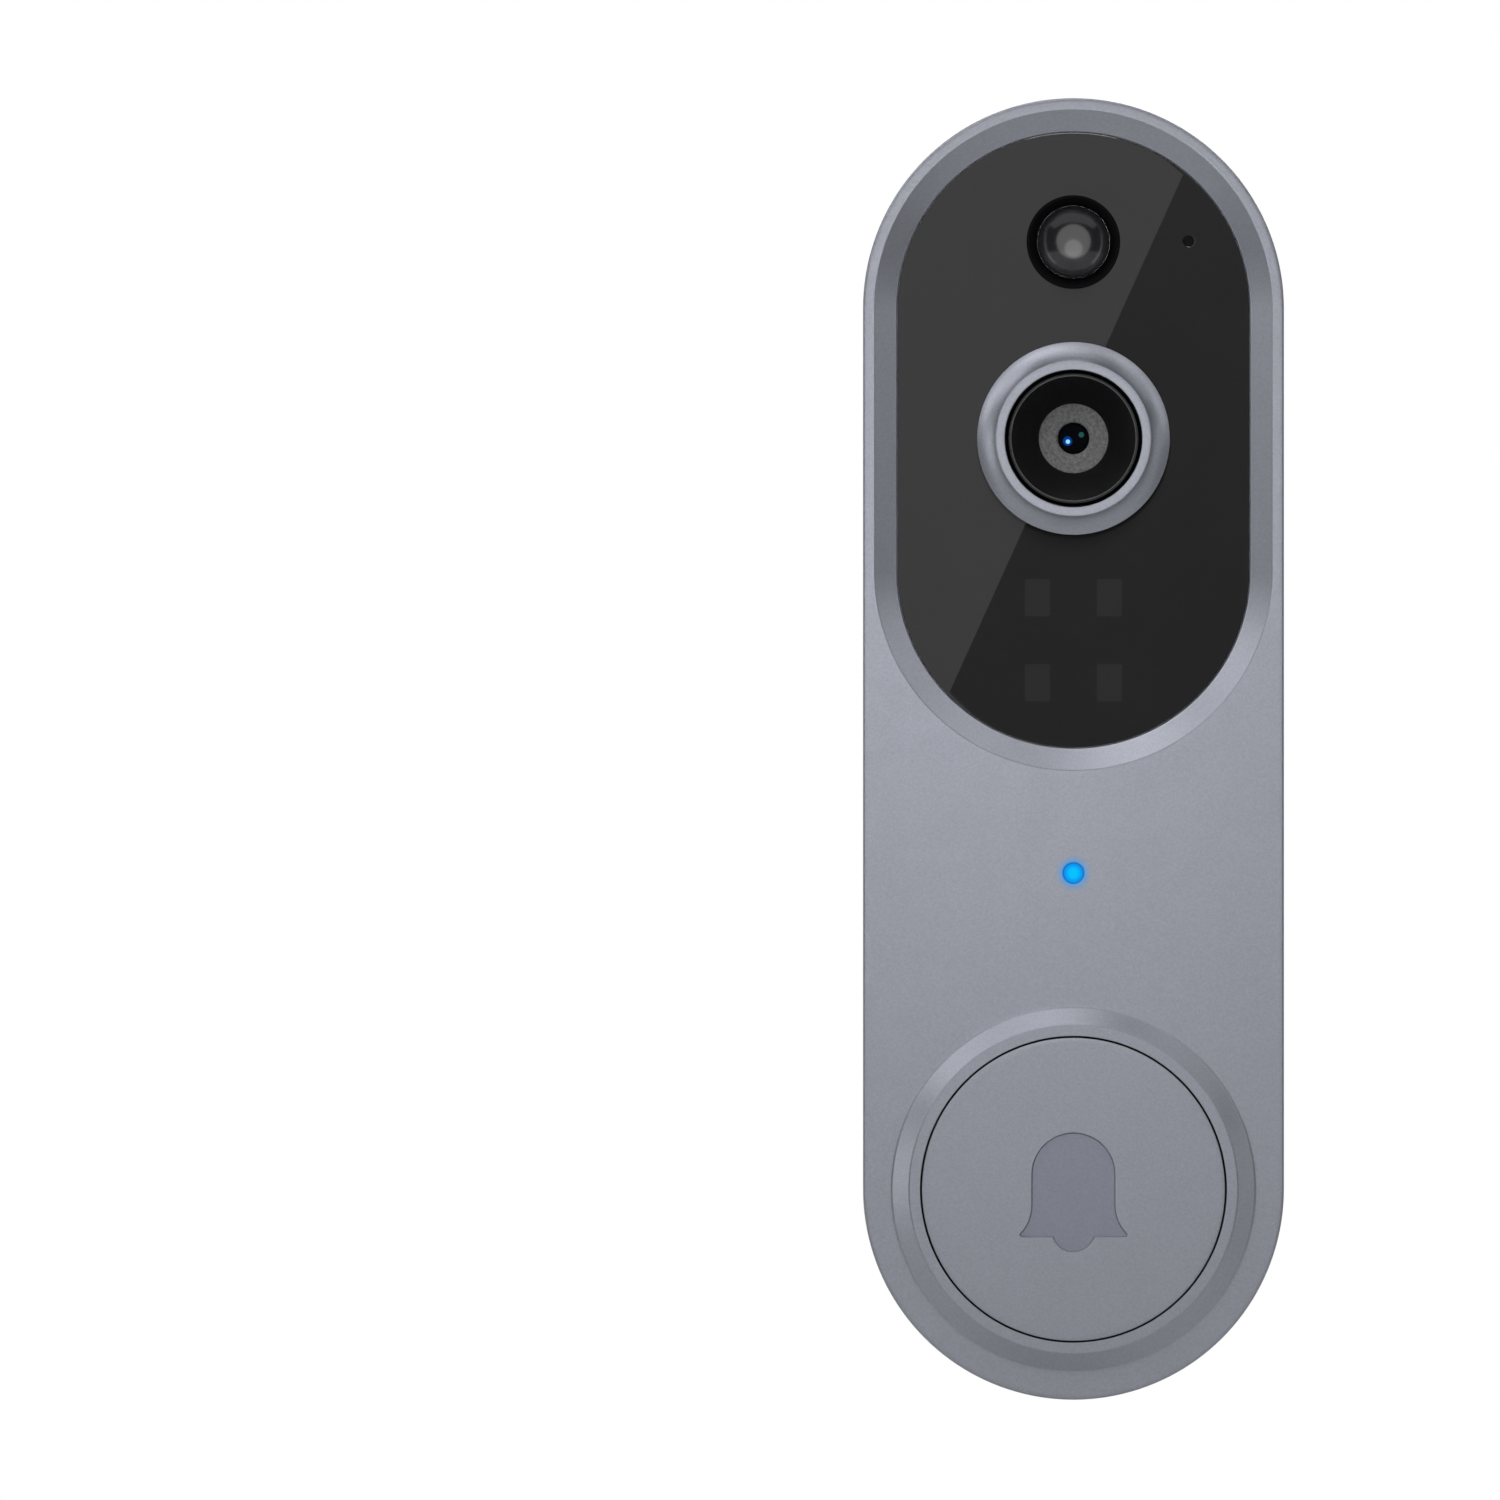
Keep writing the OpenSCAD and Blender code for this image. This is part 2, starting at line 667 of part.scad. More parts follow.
// Flat cable from the camera board's lower edge up and over the main board's upper edge
module camera_ribbon() color("#c8862c") from_wall() {
    film = 0.15;
    width = 5;
    tail = [3, 2.6];
    bend_y = board_y + board_size.y / 2 + 0.25;
    left = ribbon_x - width / 2;
    right = ribbon_x + width / 2;
    span([left, bend_y, camera_front_z], [right, bend_y + tail[1], camera_front_z + film]);
    span([left, bend_y, camera_front_z], [right, bend_y + film, ribbon_top_z + film]);
    span([left, bend_y - tail[0], ribbon_top_z], [right, bend_y + film, ribbon_top_z + film]);
}

// ---- Motion sensor, microphone and night light ----

module pir_bezel() color("#101012") from_wall() translate([0, pir_y, 0]) {
    rim_z = pane_front_z + 0.15;
    rim_w = 0.14;
    seat_z = pane_front_z - 0.8;
    flange_r = pir_r[0] + 0.9;
    inner = pir_r[1] + 0.05;
    rotate_extrude() polygon([
        [inner, pir_back_z], [flange_r, pir_back_z], [flange_r, pane_back_z], [pir_r[0], pane_back_z],
        [pir_r[0], rim_z], [pir_r[0] - rim_w, rim_z], [inner + 0.2, seat_z], [inner, seat_z]
    ]);
}

module pir_lens() color("#2b2b2e") from_wall() difference() {
    foot_z = pane_front_z + 0.05;
    ball_r = (pir_r[1] * pir_r[1] + dome_h * dome_h) / (2 * dome_h);
    at = [0, pir_y, foot_z + dome_h - ball_r];
    union() {
        rod(pir_r[1], pir_back_z, foot_z, [0, pir_y]);
        intersection() {
            translate(at) sphere(ball_r);
            rod(pir_r[1], foot_z - eps, foot_z + dome_h + cut, [0, pir_y]);
        }
    }
    intersection() {
        translate(at) sphere(ball_r - dome_t);
        rod(pir_r[1], foot_z - eps, foot_z + dome_h, [0, pir_y]);
    }
    rod(pir_r[1] - dome_t, pir_back_z - cut, foot_z, [0, pir_y]);
}

module pir_sensor() color("#a9adb3") from_wall() {
    top_z = board_front_z + pir_can[1];
    tube(pir_can[0], pir_can[0] - 0.4, board_front_z, top_z, [0, pir_y]);
    difference() {
        rod(pir_can[0] - 0.4 + eps, top_z - 0.4, top_z, [0, pir_y]);
        slab([4, 3], top_z - cut, top_z + cut, [0, pir_y]);
    }
    rod(pir_can[0] - 0.4 + eps, board_front_z, board_front_z + 1.2, [0, pir_y]);
}

module sensor_board() color("#1f5a3a") from_wall() difference() {
    intersection() {
        rod(inner_r - 1.4, board_z, board_front_z, [0, reach]);
        slab([29, 18], board_z - cut, board_front_z + cut, [0, reach + 9]);
    }
    for (spot = sensor_spots) rod(board_screw_r[1] + 0.2, board_z - cut, board_front_z + cut, spot);
}

module microphone() color("#1a1a1c") from_wall()
    package(mic_size, mic_at);

module microphone_boot() color("#3c3f44") from_wall()
    tube(2.35, mic_hole_r, board_front_z + mic_size.z, pane_back_z, mic_at);

module night_emitters() color("#d8d4c4") from_wall()
    for (y = emitter_rows, x = [-emitter_x, emitter_x])
        slab(emitter_size, emitter_back_z, emitter_back_z + emitter_size.z, [x, y]);

module emitter_board() color("#1f5a3a") from_wall() {
    size = [12, 15];
    slab(size, emitter_back_z - emitter_board_t, emitter_back_z,
         [0, (emitter_rows[0] + emitter_rows[1]) / 2]);
}

// ---- Status light ----

module light_pipe() color("#7fc6ff") from_wall() {
    at = [0, light_y];
    flange_r = 2.2;
    flange_low_z = ceiling_z - 1.2;
    stalk_r = 1.5;
    rod(light_r, ceiling_z - eps, face_z, at);
    rod(flange_r, flange_low_z, ceiling_z, at);
    rod(stalk_r, board_front_z + led_size.z + 0.2, flange_low_z + eps, at);
}

module status_led() color("#f2f2e8") from_wall()
    slab([led_size.x, led_size.y], board_front_z, board_front_z + led_size.z, [0, light_y]);

// ---- Boards and battery ----

module board_outline(z0, z1) {
    difference() {
        slab(board_size, z0, z1, [0, board_y]);
        for (spot = housing_spots) rod(housing_boss_r + 0.3, z0 - cut, z1 + cut, spot);
        for (spot = main_spots) rod(board_screw_r[1] + 0.2, z0 - cut, z1 + cut, spot);
    }
}

module main_board() color("#1f5a3a") from_wall() board_outline(board_z, board_front_z);

// Plate between the battery and the main board, with a rib down each side of the battery
module inner_frame() color("#3b3e44") from_wall() {
    difference() {
        board_outline(frame_z, board_z);
        span([12.4, port_y - 5, frame_z - cut], [body_r, reset_y + 4, board_z + cut]);
    }
    rib = [9, 1, 3];
    for (side = [-1, 1])
        slab([rib.x, rib.y], frame_z - rib.z, frame_z + eps,
             [side * 8, battery_y + battery_size.y / 2 + 0.7]);
}

module shield_can() color("#b8bbc0") from_wall() difference() {
    size = [17, 18, 1.8];
    skin = 0.2;
    slab([size.x, size.y], board_front_z, board_front_z + size.z, can_at);
    slab([size.x - 2 * skin, size.y - 2 * skin], board_front_z - eps, board_front_z + size.z - skin,
         can_at);
}

// A package that stands on the main board
module package(size, at) {
    slab([size.x, size.y], board_front_z, board_front_z + size.z, at);
}

module board_chips() color("#1a1a1c") from_wall() {
    row = [-12, -24];
    pitch = 2.6;
    package([9, 9, 1], can_at);
    package([6, 5, 0.9], [10, -8]);
    package([5, 5, 1.4], [-9, -18]);
    package([3, 4, 0.8], [8, -20]);
    for (i = [0:4]) package([1.6, 0.8, 0.8], [row.x + pitch * i, row.y]);
}

module board_connectors() color("#e4e0d2") from_wall() {
    camera_socket = [7, 3, ribbon_top_z - board_front_z];
    emitter_socket = [2.6, 8, emitter_back_z - emitter_board_t - board_front_z];
    battery_socket = [6, 3.6, 2.6];
    button_socket = [8, 2.4, 0.6];
    package(camera_socket, [ribbon_x, board_y + board_size.y / 2 - 2.4]);
    package(emitter_socket, [8.3, 11.6]);
    package(battery_socket, [-15.6, 10.6]);
    package(button_socket, [0, -28.6]);
}

module board_screw(at, top) {
    difference() {
        union() {
            rod(board_screw_r[0], top, top + board_head_t, at);
            rod(board_screw_r[1], top - board_screw_l, top + eps, at);
        }
        cross_recess(board_screw_r[0] * 0.75, top + 0.5, top + board_head_t + cut, at);
    }
}

module board_screws() color("#8f9299") from_wall() {
    for (spot = main_spots) board_screw(spot, board_front_z);
    for (spot = sensor_spots) board_screw(spot, board_front_z);
    for (spot = camera_spots) board_screw(spot, camera_front_z);
}

module battery_pack() color("#3f6f9f") from_wall() {
    r = 1.5;
    x = battery_size.x / 2;
    z = inside_z + foam_t;
    low = battery_y - battery_size.y / 2;
    translate([0, low + battery_size.y, z]) rotate([90, 0, 0]) linear_extrude(battery_size.y) {
        for (side = [-1, 1], up = [r, battery_size.z - r]) translate([side * (x - r), up]) circle(r);
        translate([-x + r, 0]) square([2 * (x - r), battery_size.z]);
        translate([-x, r]) square([2 * x, battery_size.z - 2 * r]);
    }
}

module battery_pads() color("#55585e") from_wall()
    for (y = [-14, 14]) slab(pad_size, inside_z, inside_z + foam_t, [0, battery_y + y]);

module wifi_antenna() color("#c9a24a") from_wall() slab([20, 5], inside_z, inside_z + 0.2, [0, 53]);

// ---- Speaker ----

module speaker() color("#2a2b2e") from_wall() difference() {
    front_x = -inner_r + foam_t;
    magnet_x = front_x + speaker_size[2] - 0.8;
    well = 1.4;
    union() {
        oblong_x(speaker_size[0], speaker_size[1], front_x, magnet_x, speaker_y, speaker_z);
        oblong_x(speaker_size[0] - 7, speaker_size[1] - 3, magnet_x - eps, front_x + speaker_size[2],
                 speaker_y, speaker_z);
    }
    oblong_x(speaker_size[0] - speaker_rim, speaker_size[1] - speaker_rim, front_x - cut,
             front_x + well, speaker_y, speaker_z);
}

module speaker_cone() color("#15161a") from_wall() {
    crown_x = -inner_r + foam_t + 0.4;
    cone_x = crown_x + 0.3;
    crown = [9, 4];
    rim = speaker_rim + 2 * slide_gap;
    oblong_x(speaker_size[0] - rim, speaker_size[1] - rim, cone_x, cone_x + 0.5, speaker_y, speaker_z);
    oblong_x(crown.x, crown.y, crown_x, cone_x + eps, speaker_y, speaker_z);
}

module speaker_gasket() color("#55585e") from_wall() difference() {
    oblong_x(speaker_size[0], speaker_size[1], -inner_r, -inner_r + foam_t, speaker_y, speaker_z);
    oblong_x(speaker_size[0] - speaker_rim, speaker_size[1] - speaker_rim, -inner_r - cut,
             -inner_r + foam_t + cut, speaker_y, speaker_z);
}

// ---- Bell button ----

// Half of the bell's outline, from its crown down the right side to the middle of its foot
function bell_half(steps = 12) =
    let (crown_y = 1.58, waist_y = -1.7, foot_y = -5.1, flare_r = 4.35, flare = 43.6,
         lip_x = bell_r + flare_r * (1 - cos(flare)))
        concat(
            [for (i = [0:steps]) let (turn = 90 - 90 * i / steps)
                [bell_r * cos(turn), crown_y + bell_r * sin(turn)]],
            [for (i = [0:steps / 2]) let (turn = 180 + flare * i / (steps / 2))
                [bell_r + flare_r * (1 + cos(turn)), waist_y + flare_r * sin(turn)]],
            [[lip_x, foot_y + 0.2], [lip_x - 0.2, foot_y], [0, foot_y]]
        );

module bell_sign(z0, z1) {
    clapper_r = 2.3;
    clapper_y = -4.42;
    right = bell_half();
    outline = concat(right, [for (i = [len(right) - 2:-1:1]) [-right[i].x, right[i].y]]);
    translate([0, button_y, z0]) linear_extrude(z1 - z0) polygon(outline);
    rod(clapper_r, z0, z1, [0, button_y + clapper_y]);
}

module button_cap() color("#8b8e97") from_wall() {
    hollow_r = button_r - 1.6;
    post_r = 2.2;
    at = [0, button_y];
    difference() {
        union() {
            rod(button_r, flange_z, boss_z, at);
            rod(flange[0], flange_z, flange_z + flange[1], at);
        }
        rod(hollow_r, flange_z - cut, cap_floor_z, at);
        bell_sign(boss_z - bell_t, boss_z + cut);
    }
    rod(post_r, stem_top_z, cap_floor_z + eps, at);
}

module switch_stem() color("#141416") from_wall()
    rod(stem_r, switch_top_z - 1, stem_top_z, [0, button_y]);

module return_dome() color("#d9dbe0") from_wall() translate([0, button_y, 0]) {
    foot_r = 9.6;
    crown_r = 6.4;
    t = 0.8;
    rim_r = foot_r + 2 * t;
    hole_r = crown_r - t - 1;
    rotate_extrude() polygon([
        [foot_r - t, carrier_z[1]], [rim_r, carrier_z[1]], [rim_r, carrier_z[1] + t],
        [foot_r, carrier_z[1] + t], [crown_r, cap_floor_z - t], [crown_r, cap_floor_z],
        [hole_r, cap_floor_z], [hole_r, cap_floor_z - t],
        [crown_r - t, cap_floor_z - t]
    ]);
}

module tact_switch() color("#2b2c30") from_wall() difference() {
    slab([switch_size, switch_size], carrier_z[0], switch_top_z, [0, button_y]);
    rod(stem_r + slide_gap, switch_top_z - 1 - button_travel - 0.1, switch_top_z + cut, [0, button_y]);
}

module button_board() color("#1f5a3a") from_wall()
    rod(button_board_r, button_board_z, carrier_z[0], [0, button_y]);

module button_carrier() color("#34373d") from_wall() difference() {
    opening = switch_size + 0.4;
    vent_r = 1.5;
    vents_r = 14.8;
    rod(guide_r + guide_t, carrier_z[0], carrier_z[1], [0, button_y]);
    slab([opening, opening], carrier_z[0] - cut, carrier_z[1] + cut, [0, button_y]);
    for (turn = [45:90:315])
        rod(vent_r, carrier_z[0] - cut, carrier_z[1] + cut,
            [vents_r * cos(turn), button_y + vents_r * sin(turn)]);
}

// ---- Charging port, flap and reset button ----

module usb_port() color("#b8bbc0") from_wall() difference() {
    skin = 0.3;
    oblong_x(port_size.x, port_size.y, port_x - port_size.z, port_x, port_y, port_z);
    oblong_x(port_size.x - 2 * skin, port_size.y - 2 * skin, port_x - port_size.z + port_back_t,
             port_x + cut, port_y, port_z);
}

module usb_tongue() color("#1b1b1d") from_wall() {
    half = [3.3, 0.35];
    span([port_x - port_size.z + port_back_t, port_y - half.x, port_z - half.y],
         [port_x - 0.6, port_y + half.x, port_z + half.y]);
}

module usb_flap() color("#33353a") from_wall() {
    plug = [7, 2, 0.45];
    oblong_x(flap_size[0], flap_size[1], side_x - flap_size[2], side_x, flap_y, flap_z);
    oblong_x(plug.x, plug.y, port_x - plug.z, side_x - flap_size[2] + eps, port_y, port_z);
    rod(bead_r, flap_z - bead_w / 2, flap_z + bead_w / 2, [bead_x, bead_y]);
    span([bead_x - bead_r, bead_y - 1, flap_z - bead_w / 2],
         [bead_x + bead_r, bead_y, flap_z + bead_w / 2]);
}

module flap_anchor() color("#33353a") from_wall() {
    rod_x(anchor_r, side_x - flap_size[2], side_x, anchor_y, flap_z);
    rod_x(anchor_pin_r, inner_r - 0.3, side_x - flap_size[2] + eps, anchor_y, flap_z);
    rod_x(anchor_head_r, inner_r - 1, inner_r - 0.1, anchor_y, flap_z);
}

module reset_button() color("#d8dade") from_wall() {
    rod_x(reset_r, reset_floor_x + 0.3, flap_floor_x - 0.05, reset_y, flap_z);
    rod_x(reset_r + reset_flange[0], reset_floor_x, reset_floor_x + reset_flange[1], reset_y, flap_z);
}

module reset_stem() color("#141416") from_wall()
    rod_x(reset_stem_r, reset_floor_x - 1.2, reset_floor_x, reset_y, flap_z);

module reset_switch() color("#2b2c30") from_wall() difference() {
    face_x = reset_floor_x - reset_travel - 0.1;
    depth = 3;
    half_w = 2.3;
    span([face_x - depth, reset_y - half_w, flap_z - 1.6], [face_x, reset_y + half_w, board_z]);
    rod_x(reset_stem_r + slide_gap, face_x - 1.3, face_x + cut, reset_y, flap_z);
}

wall_bracket();
lock_screw();
rear_housing();
front_shell();
housing_seal();
housing_screws();
lock_insert();
window_panel();
window_gasket();
lens_ring();
lens_baffle();
aperture_plate();
front_lens();
inner_lenses();
lens_barrel();
lens_holder();
infrared_filter();
image_sensor();
camera_board();
camera_ribbon();
pir_bezel();
pir_lens();
pir_sensor();
sensor_board();
microphone();
microphone_boot();
night_emitters();
emitter_board();
light_pipe();
status_led();
main_board();
shield_can();
board_chips();
board_connectors();
board_screws();
inner_frame();
battery_pack();
battery_pads();
wifi_antenna();
speaker();
speaker_cone();
speaker_gasket();
button_cap();
switch_stem();
return_dome();
tact_switch();
button_board();
button_carrier();
usb_port();
usb_tongue();
usb_flap();
flap_anchor();
reset_button();
reset_stem();
reset_switch();
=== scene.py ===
import json
import math
import bmesh
import bpy
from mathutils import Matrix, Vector, geometry


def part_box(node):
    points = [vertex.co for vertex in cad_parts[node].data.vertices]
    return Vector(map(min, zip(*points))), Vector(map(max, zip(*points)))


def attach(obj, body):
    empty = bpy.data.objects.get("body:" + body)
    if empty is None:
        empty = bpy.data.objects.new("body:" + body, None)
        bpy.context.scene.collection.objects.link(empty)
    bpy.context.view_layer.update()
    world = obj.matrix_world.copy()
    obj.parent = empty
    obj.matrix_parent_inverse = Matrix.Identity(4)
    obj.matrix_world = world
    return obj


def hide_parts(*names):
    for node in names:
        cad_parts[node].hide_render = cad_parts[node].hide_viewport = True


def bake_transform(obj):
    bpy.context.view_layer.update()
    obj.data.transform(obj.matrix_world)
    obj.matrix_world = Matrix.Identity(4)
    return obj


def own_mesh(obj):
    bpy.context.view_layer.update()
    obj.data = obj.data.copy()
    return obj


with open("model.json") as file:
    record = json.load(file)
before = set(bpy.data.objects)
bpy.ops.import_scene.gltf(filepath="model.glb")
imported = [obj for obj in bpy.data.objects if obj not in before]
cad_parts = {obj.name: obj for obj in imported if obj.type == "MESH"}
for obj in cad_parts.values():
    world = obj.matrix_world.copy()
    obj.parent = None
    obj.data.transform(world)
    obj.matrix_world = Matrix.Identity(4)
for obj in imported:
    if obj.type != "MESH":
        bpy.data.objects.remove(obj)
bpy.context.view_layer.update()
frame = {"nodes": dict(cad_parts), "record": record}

MM = 0.001


# ---- Where the CAD nodes are ----

class Box:
    """A CAD node's box in millimetres: x across, up, and out from the wall."""

    def __init__(self, node):
        low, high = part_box(node)
        self.left, self.right = low.x / MM, high.x / MM
        self.bottom, self.top = low.z / MM, high.z / MM
        self.back, self.front = -high.y / MM, -low.y / MM
        self.x = (self.left + self.right) / 2
        self.up = (self.bottom + self.top) / 2
        self.out = (self.back + self.front) / 2
        self.r = (self.right - self.left) / 2
        self.at = (self.x, self.up)


shell = Box("front_shell")
rear = Box("rear_housing")
pane = Box("window_panel")
ring = Box("lens_ring")
baffle = Box("lens_baffle")
aperture = Box("aperture_plate")
lens = Box("front_lens")
bezel = Box("pir_bezel")
dome = Box("pir_lens")
boot = Box("microphone_boot")
emitters = Box("night_emitters")
pipe = Box("light_pipe")
cap = Box("button_cap")
stem = Box("switch_stem")
spring = Box("return_dome")
flap = Box("usb_flap")
anchor = Box("flap_anchor")
port = Box("usb_port")

face = pipe.front
ceiling = face - 2
reach = shell.top - shell.r


# ---- Outlines and profiles ----

def circle(at=(0, 0), steps=128):
    """Outline maker for a circle: takes a radius, gives the points."""
    turns = [2 * math.pi * i / steps for i in range(steps)]
    return lambda r: [(at[0] + r * math.cos(t), at[1] + r * math.sin(t)) for t in turns]


def stadium(half, mid=0, steps=80):
    """Outline maker for an upright bar with round ends, their centres at mid plus and minus half."""
    turns = [math.pi * i / steps for i in range(steps + 1)]
    return lambda r: (
        [(r * math.cos(t), mid + half + r * math.sin(t)) for t in turns]
        + [(-r * math.cos(t), mid - half - r * math.sin(t)) for t in turns]
    )


def box_outline(width, height, at=(0, 0), steps=5):
    """Outline maker for a rectangle that takes its corner radius."""
    def made(r):
        points = []
        for i, (sx, sy) in enumerate([(1, 1), (-1, 1), (-1, -1), (1, -1)]):
            cx, cy = at[0] + sx * (width / 2 - r), at[1] + sy * (height / 2 - r)
            for k in range(steps + 1):
                t = math.pi / 2 * (i + k / steps)
                points.append((cx + r * math.cos(t), cy + r * math.sin(t)))
        return points
    return made


def soft(profile, steps=4):
    """Turns each (r, level, cut) corner into a short curve that starts and ends cut mm from it."""
    corners = [(Vector(p[:2]), p[2] if len(p) > 2 else 0) for p in profile]
    made = []
    for i, (corner, cut) in enumerate(corners):
        if not cut:
            made.append(corner)
            continue
        start = corner + (corners[i - 1][0] - corner).normalized() * cut
        end = corner + (corners[(i + 1) % len(corners)][0] - corner).normalized() * cut
        for k in range(steps + 1):
            t = k / steps
            made.append(start * (1 - t) ** 2 + corner * 2 * t * (1 - t) + end * t * t)
    return made


def grown(outline, by):
    """A clockwise outline moved outwards by a distance."""
    made = []
    for i, point in enumerate(outline):
        p = Vector(point)
        before = (p - Vector(outline[i - 1])).normalized()
        after = (Vector(outline[(i + 1) % len(outline)]) - p).normalized()
        side = Vector((-before.y - after.y, before.x + after.x))
        spread = max(side.length / 2, 0.6)
        made.append(tuple(p + side.normalized() * by / spread))
    return made


def inside(point, outline):
    """True if the point is inside the closed outline."""
    x, y = point
    found = False
    for i, (ax, ay) in enumerate(outline):
        bx, by = outline[i - 1]
        if (ay > y) != (by > y) and x < (bx - ax) * (y - ay) / (by - ay) + ax:
            found = not found
    return found


# ---- Building pieces ----

PLACES = {
    "plan": lambda a, b, level: (a * MM, -level * MM, b * MM),
    "side": lambda a, b, level: (level * MM, -b * MM, a * MM),
    "top": lambda a, b, level: (a * MM, -b * MM, level * MM),
}


class Piece:
    """A mesh built from rings: lofts between them and flat caps with holes."""

    def __init__(self, name, place="plan"):
        self.name, self.place = name, PLACES[place]
        self.points, self.faces, self.finish = [], [], []

    def ring(self, outline, level):
        start = len(self.points)
        self.points += [(a, b, level) for a, b in outline]
        return list(range(start, len(self.points)))

    def loft(self, outline, profile, closed=False, finish=0):
        """Rings of an outline maker along a (radius, level) profile; returns the first and the last ring.
        The finish is a number, or says it from a step's larger radius and its level."""
        rings = [self.ring(outline(r), level) for r, level in profile]
        ahead = 0 if closed else 1
        for n, (r, level) in enumerate(profile[ahead:], ahead):
            a, b = rings[n - 1], rings[n]
            chosen = finish(max(r, profile[n - 1][0]), level) if callable(finish) else finish
            for i in range(len(a)):
                j = (i + 1) % len(a)
                self.faces.append((a[i], a[j], b[j], b[i]))
                self.finish.append(chosen)
        return rings[0], rings[-1]

    def cap(self, outer, holes=(), patches=(), finish=0):
        """Fills the flat face inside a ring, round its holes. The patches take the next finish."""
        rings = [outer, *holes, *patches]
        index = [i for r in rings for i in r]
        flat = [Vector(self.points[i][:2]) for i in index]
        level = self.points[outer[0]][2]
        edges, first = [], 0
        for r in rings:
            edges += [(first + i, first + (i + 1) % len(r)) for i in range(len(r))]
            first += len(r)
        made, _, triangles, origin, _, _ = geometry.delaunay_2d_cdt(flat, edges, [], 0, 1e-6)
        known = []
        for point, came_from in zip(made, origin):
            if came_from:
                known.append(index[came_from[0]])
            else:
                known.append(len(self.points))
                self.points.append((point.x, point.y, level))
        loops = [[self.points[i][:2] for i in r] for r in rings]
        hole_loops = loops[1:1 + len(holes)]
        patch_loops = loops[1 + len(holes):]
        for triangle in triangles:
            middle = sum((made[i] for i in triangle), Vector((0, 0))) / 3
            if not inside(middle, loops[0]) or any(inside(middle, h) for h in hole_loops):
                continue
            self.faces.append([known[i] for i in triangle])
            self.finish.append(finish + any(inside(middle, p) for p in patch_loops))

    def build(self, slot, *materials, body="doorbell", replaces=(), sharp=38):
        mesh = bpy.data.meshes.new(self.name)
        mesh.from_pydata([self.place(*p) for p in self.points], [], self.faces)
        for m in materials:
            mesh.materials.append(m)
        mesh.polygons.foreach_set("material_index", self.finish)
        obj = bpy.data.objects.new(self.name, mesh)
        return settle(obj, body, replaces, sharp)


def settle(obj, body, replaces=(), sharp=38):
    """Normals, smooth shading with crisp corners, and the piece's place in the frame."""
    bpy.context.scene.collection.objects.link(obj)
    bm = bmesh.new()
    bm.from_mesh(obj.data)
    bmesh.ops.remove_doubles(bm, verts=bm.verts, dist=2e-7)
    bmesh.ops.recalc_face_normals(bm, faces=bm.faces)
    bm.to_mesh(obj.data)
    bm.free()
    obj.data.polygons.foreach_set("use_smooth", [True] * len(obj.data.polygons))
    obj.data.set_sharp_from_angle(angle=math.radians(sharp))
    weighted = obj.modifiers.new("normals", "WEIGHTED_NORMAL")
    weighted.keep_sharp = True
    if body:
        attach(obj, body)
    if replaces:
        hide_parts(*replaces)
    return obj


# ---- Finishes ----

class Nodes:
    """Short hand for a material's node tree."""

    def __init__(self, name):
        self.material = bpy.data.materials.new(name)
        self.material.use_nodes = True
        self.tree = self.material.node_tree
        self.shader = self.tree.nodes["Principled BSDF"]
        self.coords = self.tree.nodes.new("ShaderNodeTexCoord").outputs["Object"]

    def add(self, kind, settings=None, **inputs):
        node = self.tree.nodes.new("ShaderNode" + kind)
        for key, value in (settings or {}).items():
            setattr(node, key, value)
        for key, value in inputs.items():
            self.put(node.inputs[int(key[1:]) if key[0] == "i" and key[1:].isdigit() else key], value)
        return node

    def put(self, socket, value):
        if isinstance(value, bpy.types.NodeSocket):
            self.tree.links.new(value, socket)
        else:
            socket.default_value = value

    def shade(self, **inputs):
        for key, value in inputs.items():
            self.put(self.shader.inputs[key.replace("_", " ")], value)

    def noise(self, size, detail=3, roughness=0.6):
        """Noise whose blobs are about size mm across."""
        node = self.add("TexNoise", Scale=1 / (size * MM), Detail=detail, Roughness=roughness,
                        Vector=self.coords)
        return node.outputs["Fac"]

    def spread(self, value, low, high, a=0.3, b=0.7, smooth=False):
        """A value between a and b mapped to low and high."""
        kind = {"interpolation_type": "SMOOTHSTEP"} if smooth else None
        node = self.add("MapRange", kind, Value=value)
        for key, number in (("From Min", a), ("From Max", b), ("To Min", low), ("To Max", high)):
            self.put(node.inputs[key], number)
        return node.outputs["Result"]

    def mix(self, factor, low, high):
        node = self.add("Mix", {"data_type": "RGBA"})
        self.put(node.inputs[0], factor)
        self.put(node.inputs[6], low)
        self.put(node.inputs[7], high)
        return node.outputs[2]

    def maths(self, operation, a, b=0.0):
        node = self.add("Math", {"operation": operation})
        self.put(node.inputs[0], a)
        self.put(node.inputs[1], b)
        return node.outputs[0]

    def relief(self, height, depth):
        """A bump whose full height is depth mm."""
        return self.add("Bump", Height=height, Distance=depth * MM, Strength=1.0).outputs["Normal"]


def rgb(r, g, b):
    return (r, g, b, 1)


def times(colour, by):
    return tuple(c * by for c in colour[:3]) + (1,)


def surface(name, colour, rough, grain, depth, vary=0.12, metallic=0.0, wear=0.06, ior=1.5, **more):
    """Fine grain in tone and relief over broad clouds, with uneven roughness from handling."""
    n = Nodes(name)
    fine = n.noise(grain, 4)
    broad = n.noise(28, 2)
    tone = n.maths("ADD", n.maths("MULTIPLY", fine, 0.7), n.maths("MULTIPLY", broad, 0.3))
    n.shade(
        Base_Color=n.mix(n.spread(tone, 0, 1), times(colour, 1 - vary), times(colour, 1 + vary)),
        Roughness=n.spread(n.noise(6, 5, 0.7), rough - wear, rough + wear),
        Metallic=metallic,
        IOR=ior,
        Normal=n.relief(fine, depth),
        **more,
    )
    return n


paint_colour = rgb(0.297, 0.309, 0.351)


